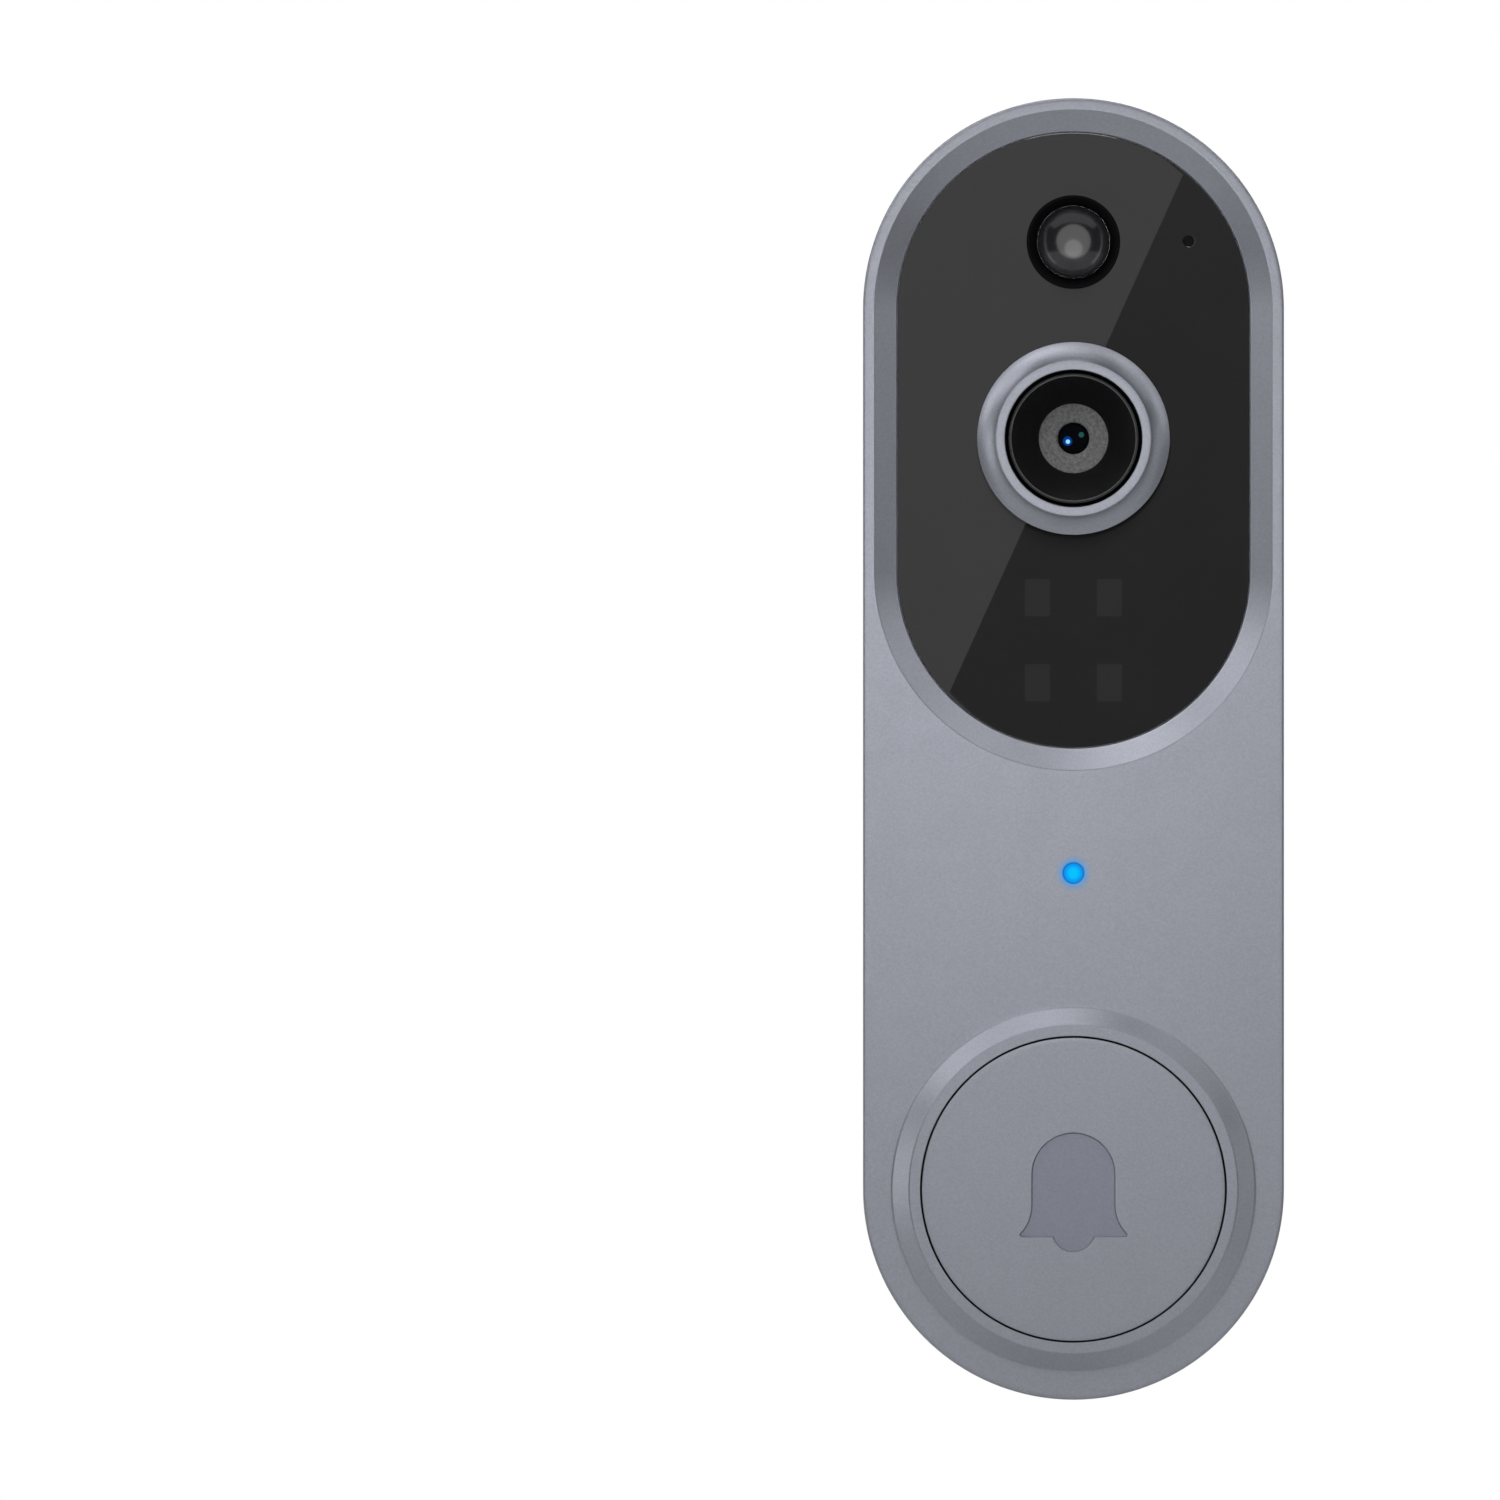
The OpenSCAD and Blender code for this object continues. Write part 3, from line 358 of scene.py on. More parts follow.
def painted(name, colour=paint_colour, glow=False):
    """Satin paint with metal flakes; with glow, near the status light it takes a painted glow: a blue tint
    and emission standing in for the light's spill.
    """
    n = Nodes(name)
    flakes = n.noise(0.24, 3, 0.75)
    drift = n.noise(14, 3)
    sparkle = n.mix(n.spread(flakes, 0, 1, 0.25, 0.75), times(colour, 0.88), times(colour, 1.12))
    plain = n.mix(n.spread(drift, 0, 0.12), sparkle, times(colour, 1.06))
    n.shade(
        Base_Color=plain,
        Roughness=n.spread(n.noise(3, 5, 0.7), 0.365, 0.385),
        Metallic=0.8,
        Normal=n.relief(flakes, 0.005),
    )
    # Painted glow: round the status light the paint turns blue and emits, a painted pool of the light's
    # spill.
    if glow:
        flat = n.add("VectorMath", {"operation": "MULTIPLY"})
        n.put(flat.inputs[0], n.coords)
        n.put(flat.inputs[1], (1, 0, 1))
        away = n.add("VectorMath", {"operation": "DISTANCE"})
        n.put(away.inputs[0], flat.outputs[0])
        n.put(away.inputs[1], (pipe.x * MM, 0, pipe.up * MM))
        near = n.spread(away.outputs["Value"], 1, 0, 1.0 * MM, 2.3 * MM, smooth=True)
        n.shade(
            Base_Color=n.mix(n.maths("POWER", near, 1.6), plain, rgb(0.10, 0.24, 0.36)),
            Emission_Color=rgb(0.01, 0.15, 0.60),
            Emission_Strength=n.maths("MULTIPLY", n.maths("POWER", near, 2.2), 0.60),
        )
    return n.material


def glass(name, colour, rough):
    """Dark polished glass with a faint film of handling."""
    n = Nodes(name)
    film = n.noise(9, 5, 0.65)
    n.shade(
        Base_Color=n.mix(n.spread(film, 0, 1), times(colour, 0.96), times(colour, 1.04)),
        Roughness=n.spread(film, rough, rough + 0.006),
        IOR=1.5,
        Normal=n.relief(n.noise(30, 1), 0.001),
    )
    return n.material


def lamp(name):
    """The status light: a bright blue core that deepens to its rim."""
    n = Nodes(name)
    away = n.add("VectorMath", {"operation": "DISTANCE"})
    n.put(away.inputs[0], n.coords)
    n.put(away.inputs[1], (pipe.x * MM, -face * MM, pipe.up * MM))
    edge = n.spread(away.outputs["Value"], 0, 1, 0.35 * MM, 0.95 * MM, smooth=True)
    rim = n.spread(away.outputs["Value"], 0, 1, 0.93 * MM, 1.12 * MM, smooth=True)
    cloudy = n.noise(0.4, 3)
    n.shade(
        Base_Color=n.mix(cloudy, rgb(0.0, 0.10, 0.25), rgb(0.0, 0.14, 0.32)),
        Roughness=n.spread(cloudy, 0.5, 0.6),
        Specular_IOR_Level=0.05,
        Emission_Color=n.mix(rim, n.mix(edge, rgb(0.0, 0.47, 0.90), rgb(0.002, 0.23, 0.68)),
                             rgb(0.004, 0.10, 0.34)),
        Emission_Strength=0.95,
        Normal=n.relief(cloudy, 0.002),
    )
    return n.material


def circuit():
    """Green solder mask with fine tracks that show through it."""
    n = Nodes("circuit_board")
    turned = n.add("Mapping", Vector=n.coords)
    n.put(turned.inputs["Rotation"], (math.radians(90), 0, 0))
    tracks = n.add("TexBrick", Vector=turned.outputs[0], Scale=1 / (9 * MM))
    for key, value in (("Mortar Size", 0.012), ("Brick Width", 0.7), ("Row Height", 0.16)):
        n.put(tracks.inputs[key], value)
    speck = n.noise(0.5, 4)
    mask = n.mix(n.spread(speck, 0, 1), rgb(0.008, 0.075, 0.035), rgb(0.014, 0.10, 0.05))
    n.shade(
        Base_Color=n.mix(tracks.outputs["Fac"], mask, rgb(0.03, 0.19, 0.09)),
        Roughness=n.spread(speck, 0.28, 0.42),
        Normal=n.relief(tracks.outputs["Fac"], 0.02),
    )
    return n.material


FINISHES = {
    "bracket_plastic": surface("bracket_plastic", rgb(0.022, 0.023, 0.025), 0.52, 0.35, 0.012).material,
    "housing_plastic": surface("housing_plastic", rgb(0.030, 0.031, 0.036), 0.46, 0.3, 0.010).material,
    "metallic_grey": painted("metallic_grey"),
    "smoked_glass": glass("smoked_glass", rgb(0.0160, 0.0160, 0.0164), 0.004),
    "silicone": surface("silicone", rgb(0.038, 0.040, 0.046), 0.62, 0.25, 0.008).material,
    "clear_silicone": surface("clear_silicone", rgb(0.62, 0.64, 0.66), 0.35, 0.6, 0.006,
                              Transmission_Weight=0.35).material,
    "foam": surface("foam", rgb(0.05, 0.05, 0.052), 0.85, 0.4, 0.08, vary=0.3).material,
    "black_plastic": surface("black_plastic", rgb(0.018, 0.018, 0.019), 0.45, 0.3, 0.008).material,
    "gloss_black": surface("gloss_black", rgb(0.006, 0.006, 0.0065), 0.24, 0.5, 0.002, wear=0.03,
                           ior=1.34).material,
    "aperture_grey": surface("aperture_grey", rgb(0.170, 0.170, 0.172), 0.60, 0.34, 0.05,
                             vary=0.55).material,
    "lens_glass": surface("lens_glass", rgb(0.001, 0.003, 0.008), 0.03, 2, 0.0002, wear=0.007,
                          Coat_Weight=1.0, Coat_Roughness=0.015).material,
    "steel": surface("steel", rgb(0.55, 0.56, 0.58), 0.28, 0.2, 0.004, metallic=1.0).material,
    "brass": surface("brass", rgb(0.72, 0.50, 0.19), 0.30, 0.2, 0.004, metallic=1.0).material,
    "circuit_board": circuit(),
    "chip": surface("chip", rgb(0.014, 0.014, 0.016), 0.42, 0.2, 0.006).material,
    "connector": surface("connector", rgb(0.68, 0.66, 0.58), 0.40, 0.3, 0.006).material,
    "polyimide": surface("polyimide", rgb(0.55, 0.24, 0.05), 0.25, 0.8, 0.004).material,
    "light_blue": lamp("light_blue"),
    "emitter": surface("emitter", rgb(0.62, 0.60, 0.48), 0.25, 0.5, 0.004).material,
    "battery_wrap": surface("battery_wrap", rgb(0.045, 0.14, 0.30), 0.30, 1.4, 0.03).material,
}
# The face's paint, with a painted glow round the status light.
shell_paint_and_glow = painted("shell_paint_and_glow", glow=True)
sign_paint = painted("sign_paint", rgb(0.240, 0.247, 0.300))
dull_black = surface("dull_black", rgb(0.0025, 0.0025, 0.0028), 0.8, 0.4, 0.004,
                     Specular_IOR_Level=0.1).material
# A satin finish in a lighter grey for the funnel's chamfer: a painted highlight of its thin bright rim.
satin_edge_highlight = surface("satin_edge_highlight", rgb(0.060, 0.060, 0.063), 0.3, 0.4, 0.003).material
emitter_window = glass("emitter_window", rgb(0.0225, 0.0225, 0.0228), 0.02)

for part in frame["record"]["subparts"]:
    node = frame["nodes"][part["node"]]
    node.data.materials.clear()
    node.data.materials.append(FINISHES[part["material_slot"]])


# ---- Front shell ----

bevel_r = pane.r + 0.1
bevel_out = bevel_r + 2.39
boss_foot_r, boss_top_r, boss_bore_r = 19.43, 17.6, 16.4
pipe_r = 1.12
light_bore_r = pipe_r + 0.03
pane_reach = (pane.top - pane.bottom) / 2 - pane.r
body_outline = stadium(reach)
pane_outline = stadium(pane_reach, pane.up)
boss_outline = circle(cap.at, 160)
light_outline = circle(pipe.at, 64)
# Below this level the walls of the button's gap are black plastic: painted shade that darkens the gap.
gap_shade_top = cap.front - 0.1


def make_front_shell():
    """The grey face: the window's bevel with the ledge under it, the button's boss and the light's bore."""
    inner_r = rear.r - 1.95
    ledge_r, ledge_top, ledge_under = bevel_r - 2, pane.back - 0.4, pane.back - 1.9
    piece = Piece("front_cover")
    inner_top, outer_top = piece.loft(body_outline, soft([
        (inner_r, ceiling),
        (inner_r, shell.back),
        (shell.r, shell.back, 0.15),
        (shell.r, face, 0.22),
        (shell.r - 0.5, face),
    ]))
    window_top, window_under = piece.loft(pane_outline, soft([
        (bevel_out + 0.25, face),
        (bevel_out, face, 0.10),
        (bevel_r + 0.02, pane.front + 0.05, 0.07),
        (bevel_r, ledge_top),
        (ledge_r, ledge_top, 0.1),
        (ledge_r, ledge_under),
        (bevel_r + 1.2, ledge_under),
        (bevel_r + 1.2, ceiling),
    ]))
    boss_top, _ = piece.loft(boss_outline, soft([
        (boss_foot_r + 0.5, face),
        (boss_foot_r, face, 0.16),
        (boss_top_r, cap.front, 0.12),
        (boss_bore_r, cap.front, 0.05),
        (boss_bore_r, gap_shade_top),
    ]))
    # The bore's wall below it is black plastic: painted shade for the button's gap.
    _, boss_under = piece.loft(boss_outline, [(boss_bore_r, gap_shade_top), (boss_bore_r, ceiling)], finish=1)
    light_top, light_under = piece.loft(light_outline, soft([
        (pipe_r + 0.25, face),
        (light_bore_r, face, 0.06),
        (light_bore_r, ceiling),
    ]))
    piece.cap(outer_top, [window_top, boss_top, light_top])
    piece.cap(inner_top, [window_under, boss_under, light_under])
    return piece.build("metallic_grey", shell_paint_and_glow, FINISHES["black_plastic"], replaces=["front_shell"])


make_front_shell()


# ---- Rear housing: the CAD's shape with a softened back edge ----

def make_rear_housing():
    """Cuts a copy of the CAD's mesh with a tool whose round back edge flares where the round ends."""
    soft_r, flare, step = 1.6, 0.8, 10
    arc = []
    for turn in range(step, 90, step):
        t = math.radians(turn)
        arc.append((rear.r - soft_r + soft_r * math.cos(t), rear.back + soft_r - soft_r * math.sin(t)))
    (side_r, side_level), (back_r, back_level) = arc[0], arc[-1]
    slope = math.tan(math.radians(step))
    rim = [
        (rear.r + 1, rear.front + 1),
        (side_r + flare, rear.front),
        (side_r + flare, side_level + flare / slope),
        *arc,
        (back_r - flare / slope, back_level - flare),
    ]
    tool = Piece("housing_tool")
    top, bottom = tool.loft(body_outline, rim)
    tool.cap(top)
    tool.cap(bottom)
    cutter = tool.build("housing_plastic", body=None)

    mesh = frame["nodes"]["rear_housing"].data.copy()
    obj = bpy.data.objects.new("rear_case", mesh)
    bpy.context.scene.collection.objects.link(obj)
    bm = bmesh.new()
    bm.from_mesh(mesh)
    bmesh.ops.remove_doubles(bm, verts=bm.verts, dist=1e-6)
    bm.to_mesh(mesh)
    bm.free()
    both = obj.modifiers.new("edge", "BOOLEAN")
    both.operation = "INTERSECT"
    both.solver = "EXACT"
    both.object = cutter
    graph = bpy.context.evaluated_depsgraph_get()
    done = bpy.data.meshes.new_from_object(obj.evaluated_get(graph))
    bpy.data.objects.remove(obj)
    bpy.data.objects.remove(cutter)
    bm = bmesh.new()
    bm.from_mesh(done)
    bmesh.ops.dissolve_limit(bm, angle_limit=math.radians(1), verts=bm.verts, edges=bm.edges)
    bm.to_mesh(done)
    bm.free()
    piece = bpy.data.objects.new("rear_case", done)
    done.materials.clear()
    done.materials.append(FINISHES["housing_plastic"])
    done.polygons.foreach_set("material_index", [0] * len(done.polygons))
    return settle(piece, "doorbell", ["rear_housing"], 32)


make_rear_housing()


# ---- Window ----

def make_window():
    piece = Piece("window_glass")
    back, front = piece.loft(pane_outline, soft([
        (pane.r, pane.back),
        (pane.r, pane.front, 0.09),
        (pane.r - 0.3, pane.front),
    ]))
    fronts, backs = [], []
    lens_hole, dome_hole, sound_hole = 8.0, 4.97, 0.62
    holes = (
        (circle(ring.at), lens_hole),
        (circle(dome.at, 96), dome_hole),
        (circle(boot.at, 40), sound_hole),
    )
    for outline, r in holes:
        top, under = piece.loft(outline, soft([
            (r + 0.12, pane.front),
            (r, pane.front, 0.05),
            (r, pane.back),
        ]))
        fronts.append(top)
        backs.append(under)
    width, height = 2.7, 4.0
    patches = []
    for x in (emitters.left + width / 2, emitters.right - width / 2):
        for up in (emitters.bottom + height / 2, emitters.top - height / 2):
            patches.append(piece.ring(box_outline(width, height, (x, up))(0.25), pane.front))
    piece.cap(front, fronts, patches)
    piece.cap(back, backs)
    return piece.build("smoked_glass", FINISHES["smoked_glass"], emitter_window,
                       replaces=["window_panel"])


window = make_window()


# ---- Camera ----

def turned(name, slot, profile, at, replaces, steps=128, finish=0, others=(), **more):
    """A closed profile of (r, level) turned round an axis that points out from the wall."""
    piece = Piece(name)
    piece.loft(circle(at, steps), profile, closed=True, finish=finish)
    return piece.build(slot, FINISHES[slot], *others, replaces=replaces, **more)


def make_lens_ring():
    """The grey ring round the camera, whose slope rises gently and then steepens."""
    bore, flange, top_r = 7.35, 0.6, 8.3
    foot = pane.front + 0.3
    low, high, steps = math.radians(18), math.radians(54), 18
    slope = []
    for i in range(steps + 1):
        t = low + (high - low) * i / steps
        run = (math.sin(t) - math.sin(low)) / (math.sin(high) - math.sin(low))
        rise = (math.cos(low) - math.cos(t)) / (math.cos(low) - math.cos(high))
        slope.append((ring.r - (ring.r - top_r) * run, foot + (ring.front - foot) * rise))
    slope[-1] = (*slope[-1], 0.07)
    profile = soft([
        (bore, ring.back), (bore + flange, ring.back), (bore + flange, pane.front), (ring.r, pane.front),
        *slope, (bore, ring.front, 0.08),
    ])
    return turned("lens_bezel", "metallic_grey", profile, ring.at, ["lens_ring"], 160)


def make_baffle():
    wall, mouth, throat = 6.95, 6.65, 3.72
    flange_top = baffle.back + 0.7
    profile = soft([
        (throat, baffle.back), (baffle.r, baffle.back), (baffle.r, flange_top),
        (wall, flange_top), (wall, baffle.front - 0.2, 0.05), (mouth + 0.08, baffle.front, 0.04),
        (mouth, baffle.front, 0.03), (throat, baffle.back + 0.2),
    ])

    def finish(r, level):
        """Gloss inside, dull black outside and a satin chamfer between them, whose lighter grey is a
        painted highlight for the rim.
        """
        if level > baffle.front - 0.25 and r > mouth + 0.01:
            return 2
        return int(r > wall - 0.01)

    return turned("camera_funnel", "gloss_black", profile, baffle.at, ["lens_baffle"], sharp=30,
                  finish=finish, others=[dull_black, satin_edge_highlight])


def make_aperture():
    hole = 1.68
    profile = soft([
        (hole + 0.35, aperture.back), (aperture.r, aperture.back), (aperture.r, aperture.front),
        (hole + 0.2, aperture.front, 0.03), (hole, aperture.front - 0.2, 0.03),
    ])
    return turned("aperture_disc", "aperture_grey", profile, aperture.at, ["aperture_plate"])


def bulged(r, foot, top, steps=14):
    """Profile of a dome of radius r from its rim at foot to its crown at top."""
    height = top - foot
    ball = (r * r + height * height) / (2 * height)
    end = math.asin(min(1, r / ball))
    turns = [end * (1 - i / steps) for i in range(steps)]
    return [(ball * math.sin(t), top - ball + ball * math.cos(t)) for t in turns]


def make_lens():
    piece = Piece("outer_lens")
    curve = bulged(lens.r, lens.front - 0.5, lens.front)
    bottom, top = piece.loft(circle(lens.at, 96), [(lens.r, lens.back)] + curve)
    piece.cap(bottom)
    piece.cap(top)
    return piece.build("lens_glass", FINISHES["lens_glass"], replaces=["front_lens"])


make_lens_ring()
funnel = make_baffle()
make_aperture()
front_glass = make_lens()


# ---- Motion sensor ----

def make_pir():
    inner, rim, seat = 3.9, 4.92, pane.back - 0.02
    profile = soft([
        (inner, bezel.back), (bezel.r, bezel.back), (bezel.r, seat), (rim, seat),
        (rim, bezel.front, 0.06), (rim - 0.14, bezel.front, 0.05), (inner, pane.front - 0.8),
    ])
    turned("sensor_bezel", "gloss_black", profile, bezel.at, ["pir_bezel"],
           finish=lambda r, level: int(r > rim - 0.2), others=[dull_black])
    foot = dome.front - 2.3
    wall = 0.7
    under = bulged(dome.r - wall, foot, dome.front - wall)
    over = bulged(dome.r, foot, dome.front, 20)
    piece = Piece("sensor_dome")
    skin = [*reversed(under), (dome.r - wall, dome.back), (dome.r, dome.back), *over]
    bottom, top = piece.loft(
        circle(dome.at, 112), skin, finish=lambda r, level: int(r > dome.r - 0.08))
    piece.cap(bottom)
    piece.cap(top)
    return piece.build("gloss_black", dome_finish(), dull_black, replaces=["pir_lens"], sharp=50)


def dome_finish():
    """Smoked infrared plastic: dark, with a satin outside."""
    return surface("sensor_plastic", rgb(0.007, 0.007, 0.008), 0.18, 0.5, 0.0006, wear=0.02).material


sensor = make_pir()


# ---- Status light ----

def make_light():
    root_r, collar_r = 1.5, 2.2
    collar_back, collar_front = ceiling - 1.2, ceiling - 0.02
    piece = Piece("status_light")
    bottom, top = piece.loft(light_outline, soft([
        (root_r, pipe.back), (root_r, collar_back), (collar_r, collar_back), (collar_r, collar_front),
        (pipe_r, collar_front),
    ]) + bulged(pipe_r, face - 0.1, face, 8))
    piece.cap(bottom)
    piece.cap(top)
    return piece.build("light_blue", FINISHES["light_blue"], replaces=["light_pipe"])


make_light()


# ---- Bell button ----

def bell(at):
    """Clockwise outline of the bell sign with its clapper."""
    dome_r, crown, waist, foot = 4.46, 1.58, -1.7, -5.13
    flare_r, flare = 4.35, 43.6
    tip = 0.28
    clapper_r, clapper = 2.31, -4.42
    right = []
    for i in range(25):
        t = math.radians(90 - 90 * i / 24)
        right.append((dome_r * math.cos(t), crown + dome_r * math.sin(t)))
    for i in range(13):
        t = math.radians(180 + flare * i / 12)
        right.append((dome_r + flare_r * (1 + math.cos(t)), waist + flare_r * math.sin(t)))
    lip = right[-1][0]
    for i in range(7):
        t = math.radians(20 - 110 * i / 6)
        right.append((lip - tip * 0.8 + tip * math.cos(t), foot + tip + tip * math.sin(t)))
    low = math.degrees(math.asin((foot - clapper) / clapper_r))
    for i in range(12):
        t = math.radians(low + (-90 - low) * i / 12)
        right.append((clapper_r * math.cos(t), clapper + clapper_r * math.sin(t)))
    right.append((0, clapper - clapper_r))
    left = [(-x, y) for x, y in reversed(right[1:-1])]
    return [(at[0] + x, at[1] + y) for x, y in right + left]


def make_button():
    radius, inner, floor = 16.2, 16.2 - 1.6, cap.front - 2
    brim = cap.back + 1
    piece = Piece("bell_button")
    # The side from the brim up to the gap's top is black plastic: painted shade for the gap.
    under, _ = piece.loft(boss_outline, soft([
        (inner, floor),
        (inner, cap.back),
        (cap.r, cap.back, 0.1),
        (cap.r, brim, 0.1),
        (radius, brim),
        (radius, gap_shade_top),
    ]), finish=2)
    _, top = piece.loft(boss_outline, soft([
        (radius, gap_shade_top),
        (radius, cap.front, 0.05),
        (radius - 0.5, cap.front),
    ]))
    post_r = 2.2
    post_top, post_end = piece.loft(circle(cap.at, 48), [(post_r, floor), (post_r, stem.front)])
    sign = bell(cap.at)
    depth = 0.35
    # The sign narrows from its soft lip at the face down to its floor: (wider by, depth).
    levels = [(0.07, 0), (0.02, 0.03), (-0.05, depth - 0.05), (-0.09, depth)]
    sign_top, sign_floor = piece.loft(lambda by: grown(sign, by), [(by, cap.front - z) for by, z in levels])
    piece.cap(top, [sign_top])
    piece.cap(sign_floor, finish=1)
    piece.cap(under, [post_top], finish=2)
    piece.cap(post_end, finish=2)
    return piece.build("metallic_grey", FINISHES["metallic_grey"], sign_paint, FINISHES["black_plastic"],
                       body="button", replaces=["button_cap"], sharp=25)


def make_return_dome():
    """A thin silicone cone with a brim at its foot and an open crown."""
    foot, crown, t = 9.6, 6.4, 0.8
    mouth = crown - t - 1
    profile = soft([
        (foot - t, spring.back), (foot + 1.6, spring.back), (foot + 1.6, spring.back + t, 0.2),
        (foot, spring.back + t, 0.4), (crown, spring.front - t, 0.4), (crown, spring.front, 0.2),
        (mouth, spring.front), (mouth, spring.front - t), (crown - t, spring.front - t, 0.3),
    ])
    piece = turned("button_spring", "clear_silicone", profile, spring.at, ["return_dome"])
    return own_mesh(piece)


make_button()
make_return_dome()


# ---- Charging port's flap ----

def bar(half, mid):
    """Outline maker for the side view: a bar along the height, round at its ends."""
    steps = 24
    turns = [math.pi * i / steps for i in range(steps + 1)]
    return lambda r: (
        [(mid[0] + half + r * math.sin(t), mid[1] + r * math.cos(t)) for t in turns]
        + [(mid[0] - half - r * math.sin(t), mid[1] - r * math.cos(t)) for t in turns]
    )


flap_length, flap_thick = 21.6, 1.35


def make_flap():
    """The silicone cover with the plug that fills the port and a dip for a fingernail."""
    r = 6.6 / 2
    skin = flap.right - flap_thick
    piece = Piece("port_flap", "side")
    back, front = piece.loft(bar(flap_length / 2 - r, (flap.bottom + flap_length / 2, flap.out)), soft([
        (r - 0.4, skin), (r, skin, 0.15), (r, flap.right, 0.4), (r - 0.9, flap.right),
    ]))
    plug_r = 1.0
    plug_root, plug_end = piece.loft(bar(2.5, (port.up, port.out)), soft([
        (plug_r, skin), (plug_r, flap.left, 0.25), (plug_r - 0.4, flap.left),
    ]))
    # The dip narrows from its mouth as it goes down: (wider by, depth).
    grip_r = 1.7
    grip = [(0, 0), (-0.12, -0.05), (-0.25, -0.22), (-0.4, -0.28)]
    dip_top, dip_floor = piece.loft(
        bar(0.9, (flap.bottom + 3.2, flap.out)), [(grip_r + wider, flap.right + z) for wider, z in grip])
    piece.cap(front, [dip_top])
    piece.cap(dip_floor)
    piece.cap(back, [plug_root])
    piece.cap(plug_end)
    return piece.build("silicone", FINISHES["silicone"], body="flap", replaces=["usb_flap"])


def make_anchor():
    r, pin_r, button = 2.1, 0.9, 1.5
    groove = anchor.left + 0.9
    skin = anchor.right - flap_thick
    piece = Piece("flap_stud", "side")
    inner, outer = piece.loft(circle((anchor.up, anchor.out), 64), soft([
        (button - 0.2, anchor.left), (button, anchor.left, 0.15), (button, groove),
        (pin_r, groove), (pin_r, skin), (r, skin), (r, anchor.right, 0.35), (r - 0.8, anchor.right),
    ]))
    piece.cap(inner)
    piece.cap(outer)
    return piece.build("silicone", FINISHES["silicone"], replaces=["flap_anchor"])


def make_strap():
    """The thin living hinge between the flap's upper end and its stud."""
    low, high, steps = flap.bottom + flap_length - 0.5, anchor.bottom + 0.35, 16
    piece = Piece("flap_strap", "top")
    levels = [low + (high - low) * i / steps for i in range(steps + 1)]
    outline = box_outline(0.5, 2.6, (anchor.right - 0.32, anchor.out), 4)
    bottom, top = piece.loft(outline, [(0.18, level) for level in levels])
    piece.cap(bottom)
    piece.cap(top)
    obj = piece.build("silicone", FINISHES["silicone"], body=None)
    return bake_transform(obj)


make_flap()
make_anchor()
make_strap()


# ---- Stage ----

def make_floor(name, inner, outer, bounces):
    """A flat ring of the pale floor below the part; it sends light back onto the part only if told to."""
    level = -86
    piece = Piece(name, "top")
    far = piece.ring(circle(steps=96)(outer), level)
    near = [piece.ring(circle(steps=96)(inner), level)] if inner else []
    piece.cap(far, near)
    mesh = bpy.data.meshes.new(name)
    mesh.from_pydata([piece.place(*p) for p in piece.points], [], piece.faces)
    mesh.materials.append(floor_finish)
    obj = bpy.data.objects.new(name, mesh)
    obj.visible_glossy = bounces
    obj.visible_diffuse = bounces
    bpy.context.scene.collection.objects.link(obj)


def floor_paper():
    """Pale paper that brightens away from the part, where the lamps don't reach, to meet the backdrop."""
    n = Nodes("floor")
    haze = n.noise(60, 4)
    away = n.add("VectorMath", {"operation": "LENGTH"})
    n.put(away.inputs[0], n.coords)
    n.shade(
        Base_Color=n.mix(n.spread(haze, 0, 1), rgb(0.86, 0.86, 0.87), rgb(0.89, 0.89, 0.89)),
        Roughness=n.spread(n.noise(8, 4), 0.75, 0.85),
        Normal=n.relief(haze, 0.05),
        Emission_Color=rgb(1, 1, 1),
        Emission_Strength=n.spread(away.outputs["Value"], 0, 0.95, 0.25, 1.3, smooth=True),
    )
    return n.material


def make_world():
    world = bpy.data.worlds.new("studio")
    bpy.context.scene.world = world
    world.use_nodes = True
    tree = world.node_tree
    seen = tree.nodes["Background"]
    seen.inputs["Color"].default_value = (1, 1, 1, 1)
    seen.inputs["Strength"].default_value = 1.0
    fill = tree.nodes.new("ShaderNodeBackground")
    fill.inputs["Color"].default_value = (1, 1, 1, 1)
    fill.inputs["Strength"].default_value = WORLD
    path = tree.nodes.new("ShaderNodeLightPath")
    mixed = tree.nodes.new("ShaderNodeMixShader")
    tree.links.new(path.outputs["Is Camera Ray"], mixed.inputs[0])
    tree.links.new(fill.outputs[0], mixed.inputs[1])
    tree.links.new(seen.outputs[0], mixed.inputs[2])
    tree.links.new(mixed.outputs[0], tree.nodes["World Output"].inputs["Surface"])


def group(name, objects, exclude=False):
    """Collection for a light's reach: only these objects, or all but these."""
    made = bpy.data.collections.new(name)
    for o in objects:
        made.objects.link(o)
    if exclude:
        for item in made.collection_objects:
            item.light_linking.link_state = "EXCLUDE"
    return made


WHITE = (1, 1, 1)


def light(name, at, aim, size, power, colour=WHITE, reach=None):
    """A soft flat light at a point, turned to another; places and size in metres, power in watts."""
    data = bpy.data.lights.new(name, "AREA")
    data.shape = "RECTANGLE"
    data.size, data.size_y = size if isinstance(size, tuple) else (size, size)
    data.energy = power
    data.color = colour
    obj = bpy.data.objects.new(name, data)
    bpy.context.scene.collection.objects.link(obj)
    obj.location = at
    obj.rotation_euler = (Vector(aim) - Vector(at)).to_track_quat("-Z", "Y").to_euler()
    obj.visible_camera = False
    if reach:
        obj.light_linking.receiver_collection = reach
    return obj


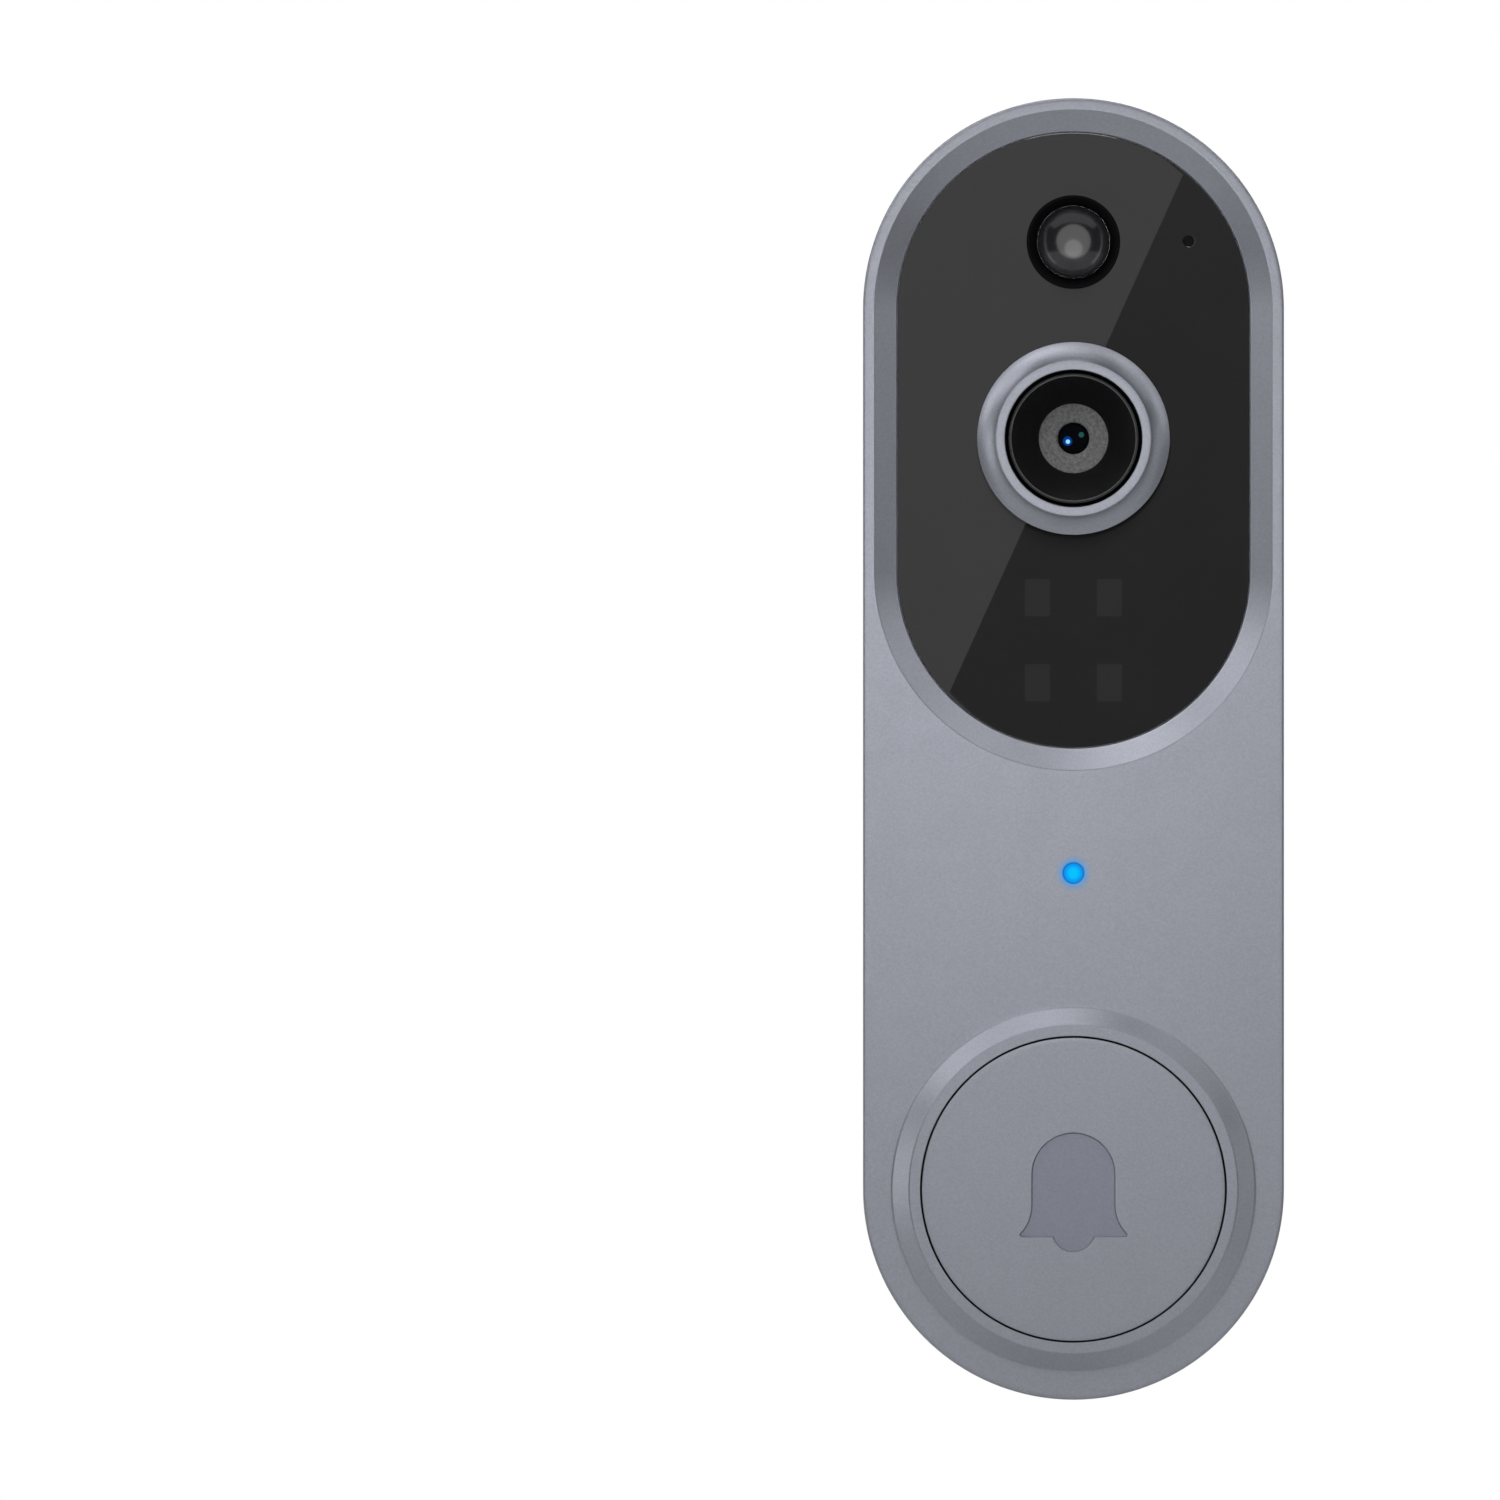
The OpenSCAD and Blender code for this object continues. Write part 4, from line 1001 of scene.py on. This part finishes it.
# The studio's lamps: place, aim, size and power. They light all but the window, the lens and the dome.
WORLD = 0.03
no_glass = group("all but the glass", [window, front_glass, sensor], exclude=True)
STUDIO = {
    "front": ((0, -0.82, 0), (0, -0.02, 0), 0.30, 0.291),
    "near_front": ((-0.012, -0.27, 0.035), (-0.012, -0.02, 0.035), 0.10, 0.053),
    "near": ((-0.020, -0.20, 0.022), (-0.020, -0.02, 0.022), 0.08, 0.007),
    "key": ((-0.136, -0.147, 0.215), (0, -0.02, -0.02), 0.15, 0.020),
    "key_front": ((-0.043, -0.192, 0.242), (0, -0.02, 0), 0.15, 0.123),
    "left_front": ((-0.239, -0.235, 0.138), (0, -0.02, 0), 0.12, 0.135),
    "top_front": ((-0.117, -0.235, 0.250), (0, -0.02, 0), 0.12, 0.068),
    "high_right": ((0.158, -0.266, 0.273), (0, -0.02, 0), 0.15, 0.141),
    "right_front": ((0.286, -0.266, 0.133), (0, -0.02, 0), 0.15, 0.117),
    "top": ((0, -0.124, 0.386), (0, -0.02, 0), 0.20, 0.126),
    "upper_left": ((-0.273, -0.124, 0.273), (0, -0.02, 0), 0.20, 0.200),
    "upper_right": ((0.273, -0.124, 0.273), (0, -0.02, 0), 0.20, 0.087),
    "left": ((-0.386, -0.124, 0), (0, -0.02, 0), 0.20, 0.207),
    "right": ((0.386, -0.124, 0), (0, -0.02, 0), 0.20, 0.101),
}
for name, (at, aim, size, power) in STUDIO.items():
    light(name, at, aim, size, power, reach=no_glass)
light("back", (0.10, 0.60, 0.35), (0, 0, 0), 0.5, 3.0)

# The card that the glass mirrors: its lower right edge makes the diagonal across the window.
edge_away = Vector((-0.911, 0, 0.411))
edge_at = Vector((-0.0008, -0.15, 0.0338))
card_size = 0.2
card = light("card", (0, 0, 0), (0, 1, 0), card_size, 0.080, reach=group("the glass", [window]))
card.location = edge_at + edge_away * card_size / 2
card.rotation_euler = (math.radians(90), 0, 0)
card.rotation_euler.rotate_axis("Z", -math.atan2(edge_away.z, -edge_away.x))

# Glints in the lens, sheen on the sensor's dome, and light for the funnel and the window.
lens_reach = group("the lens", [front_glass])
dome_reach = group("the dome", [sensor])
lens_at = Vector((lens.x, -lens.front, lens.up)) * MM
dome_at = Vector((dome.x, -dome.front, dome.up)) * MM


def glint(name, at, tilt, turn, far, size, power, colour, reach):
    """A light seen in a rounded surface, tilt degrees off its axis towards turn degrees from the right."""
    t, a = math.radians(tilt), math.radians(turn)
    way = Vector((math.sin(t) * math.cos(a), -math.cos(t), math.sin(t) * math.sin(a)))
    made = light(name, at + way * far, at, size, power, colour, reach)
    if not isinstance(size, tuple):
        made.data.shape = "DISK"
    return made


glint("blue", lens_at, 9, 210, 0.10, 0.0105, 0.0035, (0.33, 0.72, 1.0), lens_reach)
glint("blue_halo", lens_at, 9, 205, 0.10, 0.023, 0.0048, (0.0, 0.14, 0.8), lens_reach)
glint("green", lens_at, 12, 25, 0.10, 0.013, 0.0006, (0.15, 0.70, 0.65), lens_reach)
glint("bowl", dome_at, 2, 90, 0.10, 0.24, 0.300, WHITE, dome_reach)
glint("core", dome_at, 19, 270, 0.10, 0.095, 0.045, WHITE, dome_reach)
glint("brow", dome_at, 90, 90, 0.12, (0.34, 0.15), 0.120, WHITE, dome_reach)
for name, turn in (("cheek", 196), ("far_cheek", -16)):
    made = glint(name, dome_at, 102, turn, 0.12, (0.07, 0.17), 0.060, WHITE, dome_reach)
    made.data.use_shadow = False
funnel_reach = group("the funnel", [funnel])
glint("funnel_top", lens_at, 74, 90, 0.15, 0.12, 0.090, WHITE, funnel_reach)
light("glass_fill", (0, -0.27, 0.45), (0, -0.02, 0.03), 0.2, 4.2, reach=group("the glass's fill", [window]))

camera_data = bpy.data.cameras.new("camera")
camera_data.type = "ORTHO"
camera_data.ortho_scale = 0.1604
camera = bpy.data.objects.new("camera", camera_data)
bpy.context.scene.collection.objects.link(camera)
camera.location = (-0.03459, -0.6, -0.00012)
camera.rotation_euler = (math.radians(90), 0, 0)
bpy.context.scene.camera = camera
bpy.context.scene.view_settings.view_transform = "Standard"

floor_finish = floor_paper()
near_r, far_r = 350, 1500
make_floor("near_floor", 0, near_r, True)
make_floor("far_floor", near_r, far_r, False)
make_world()
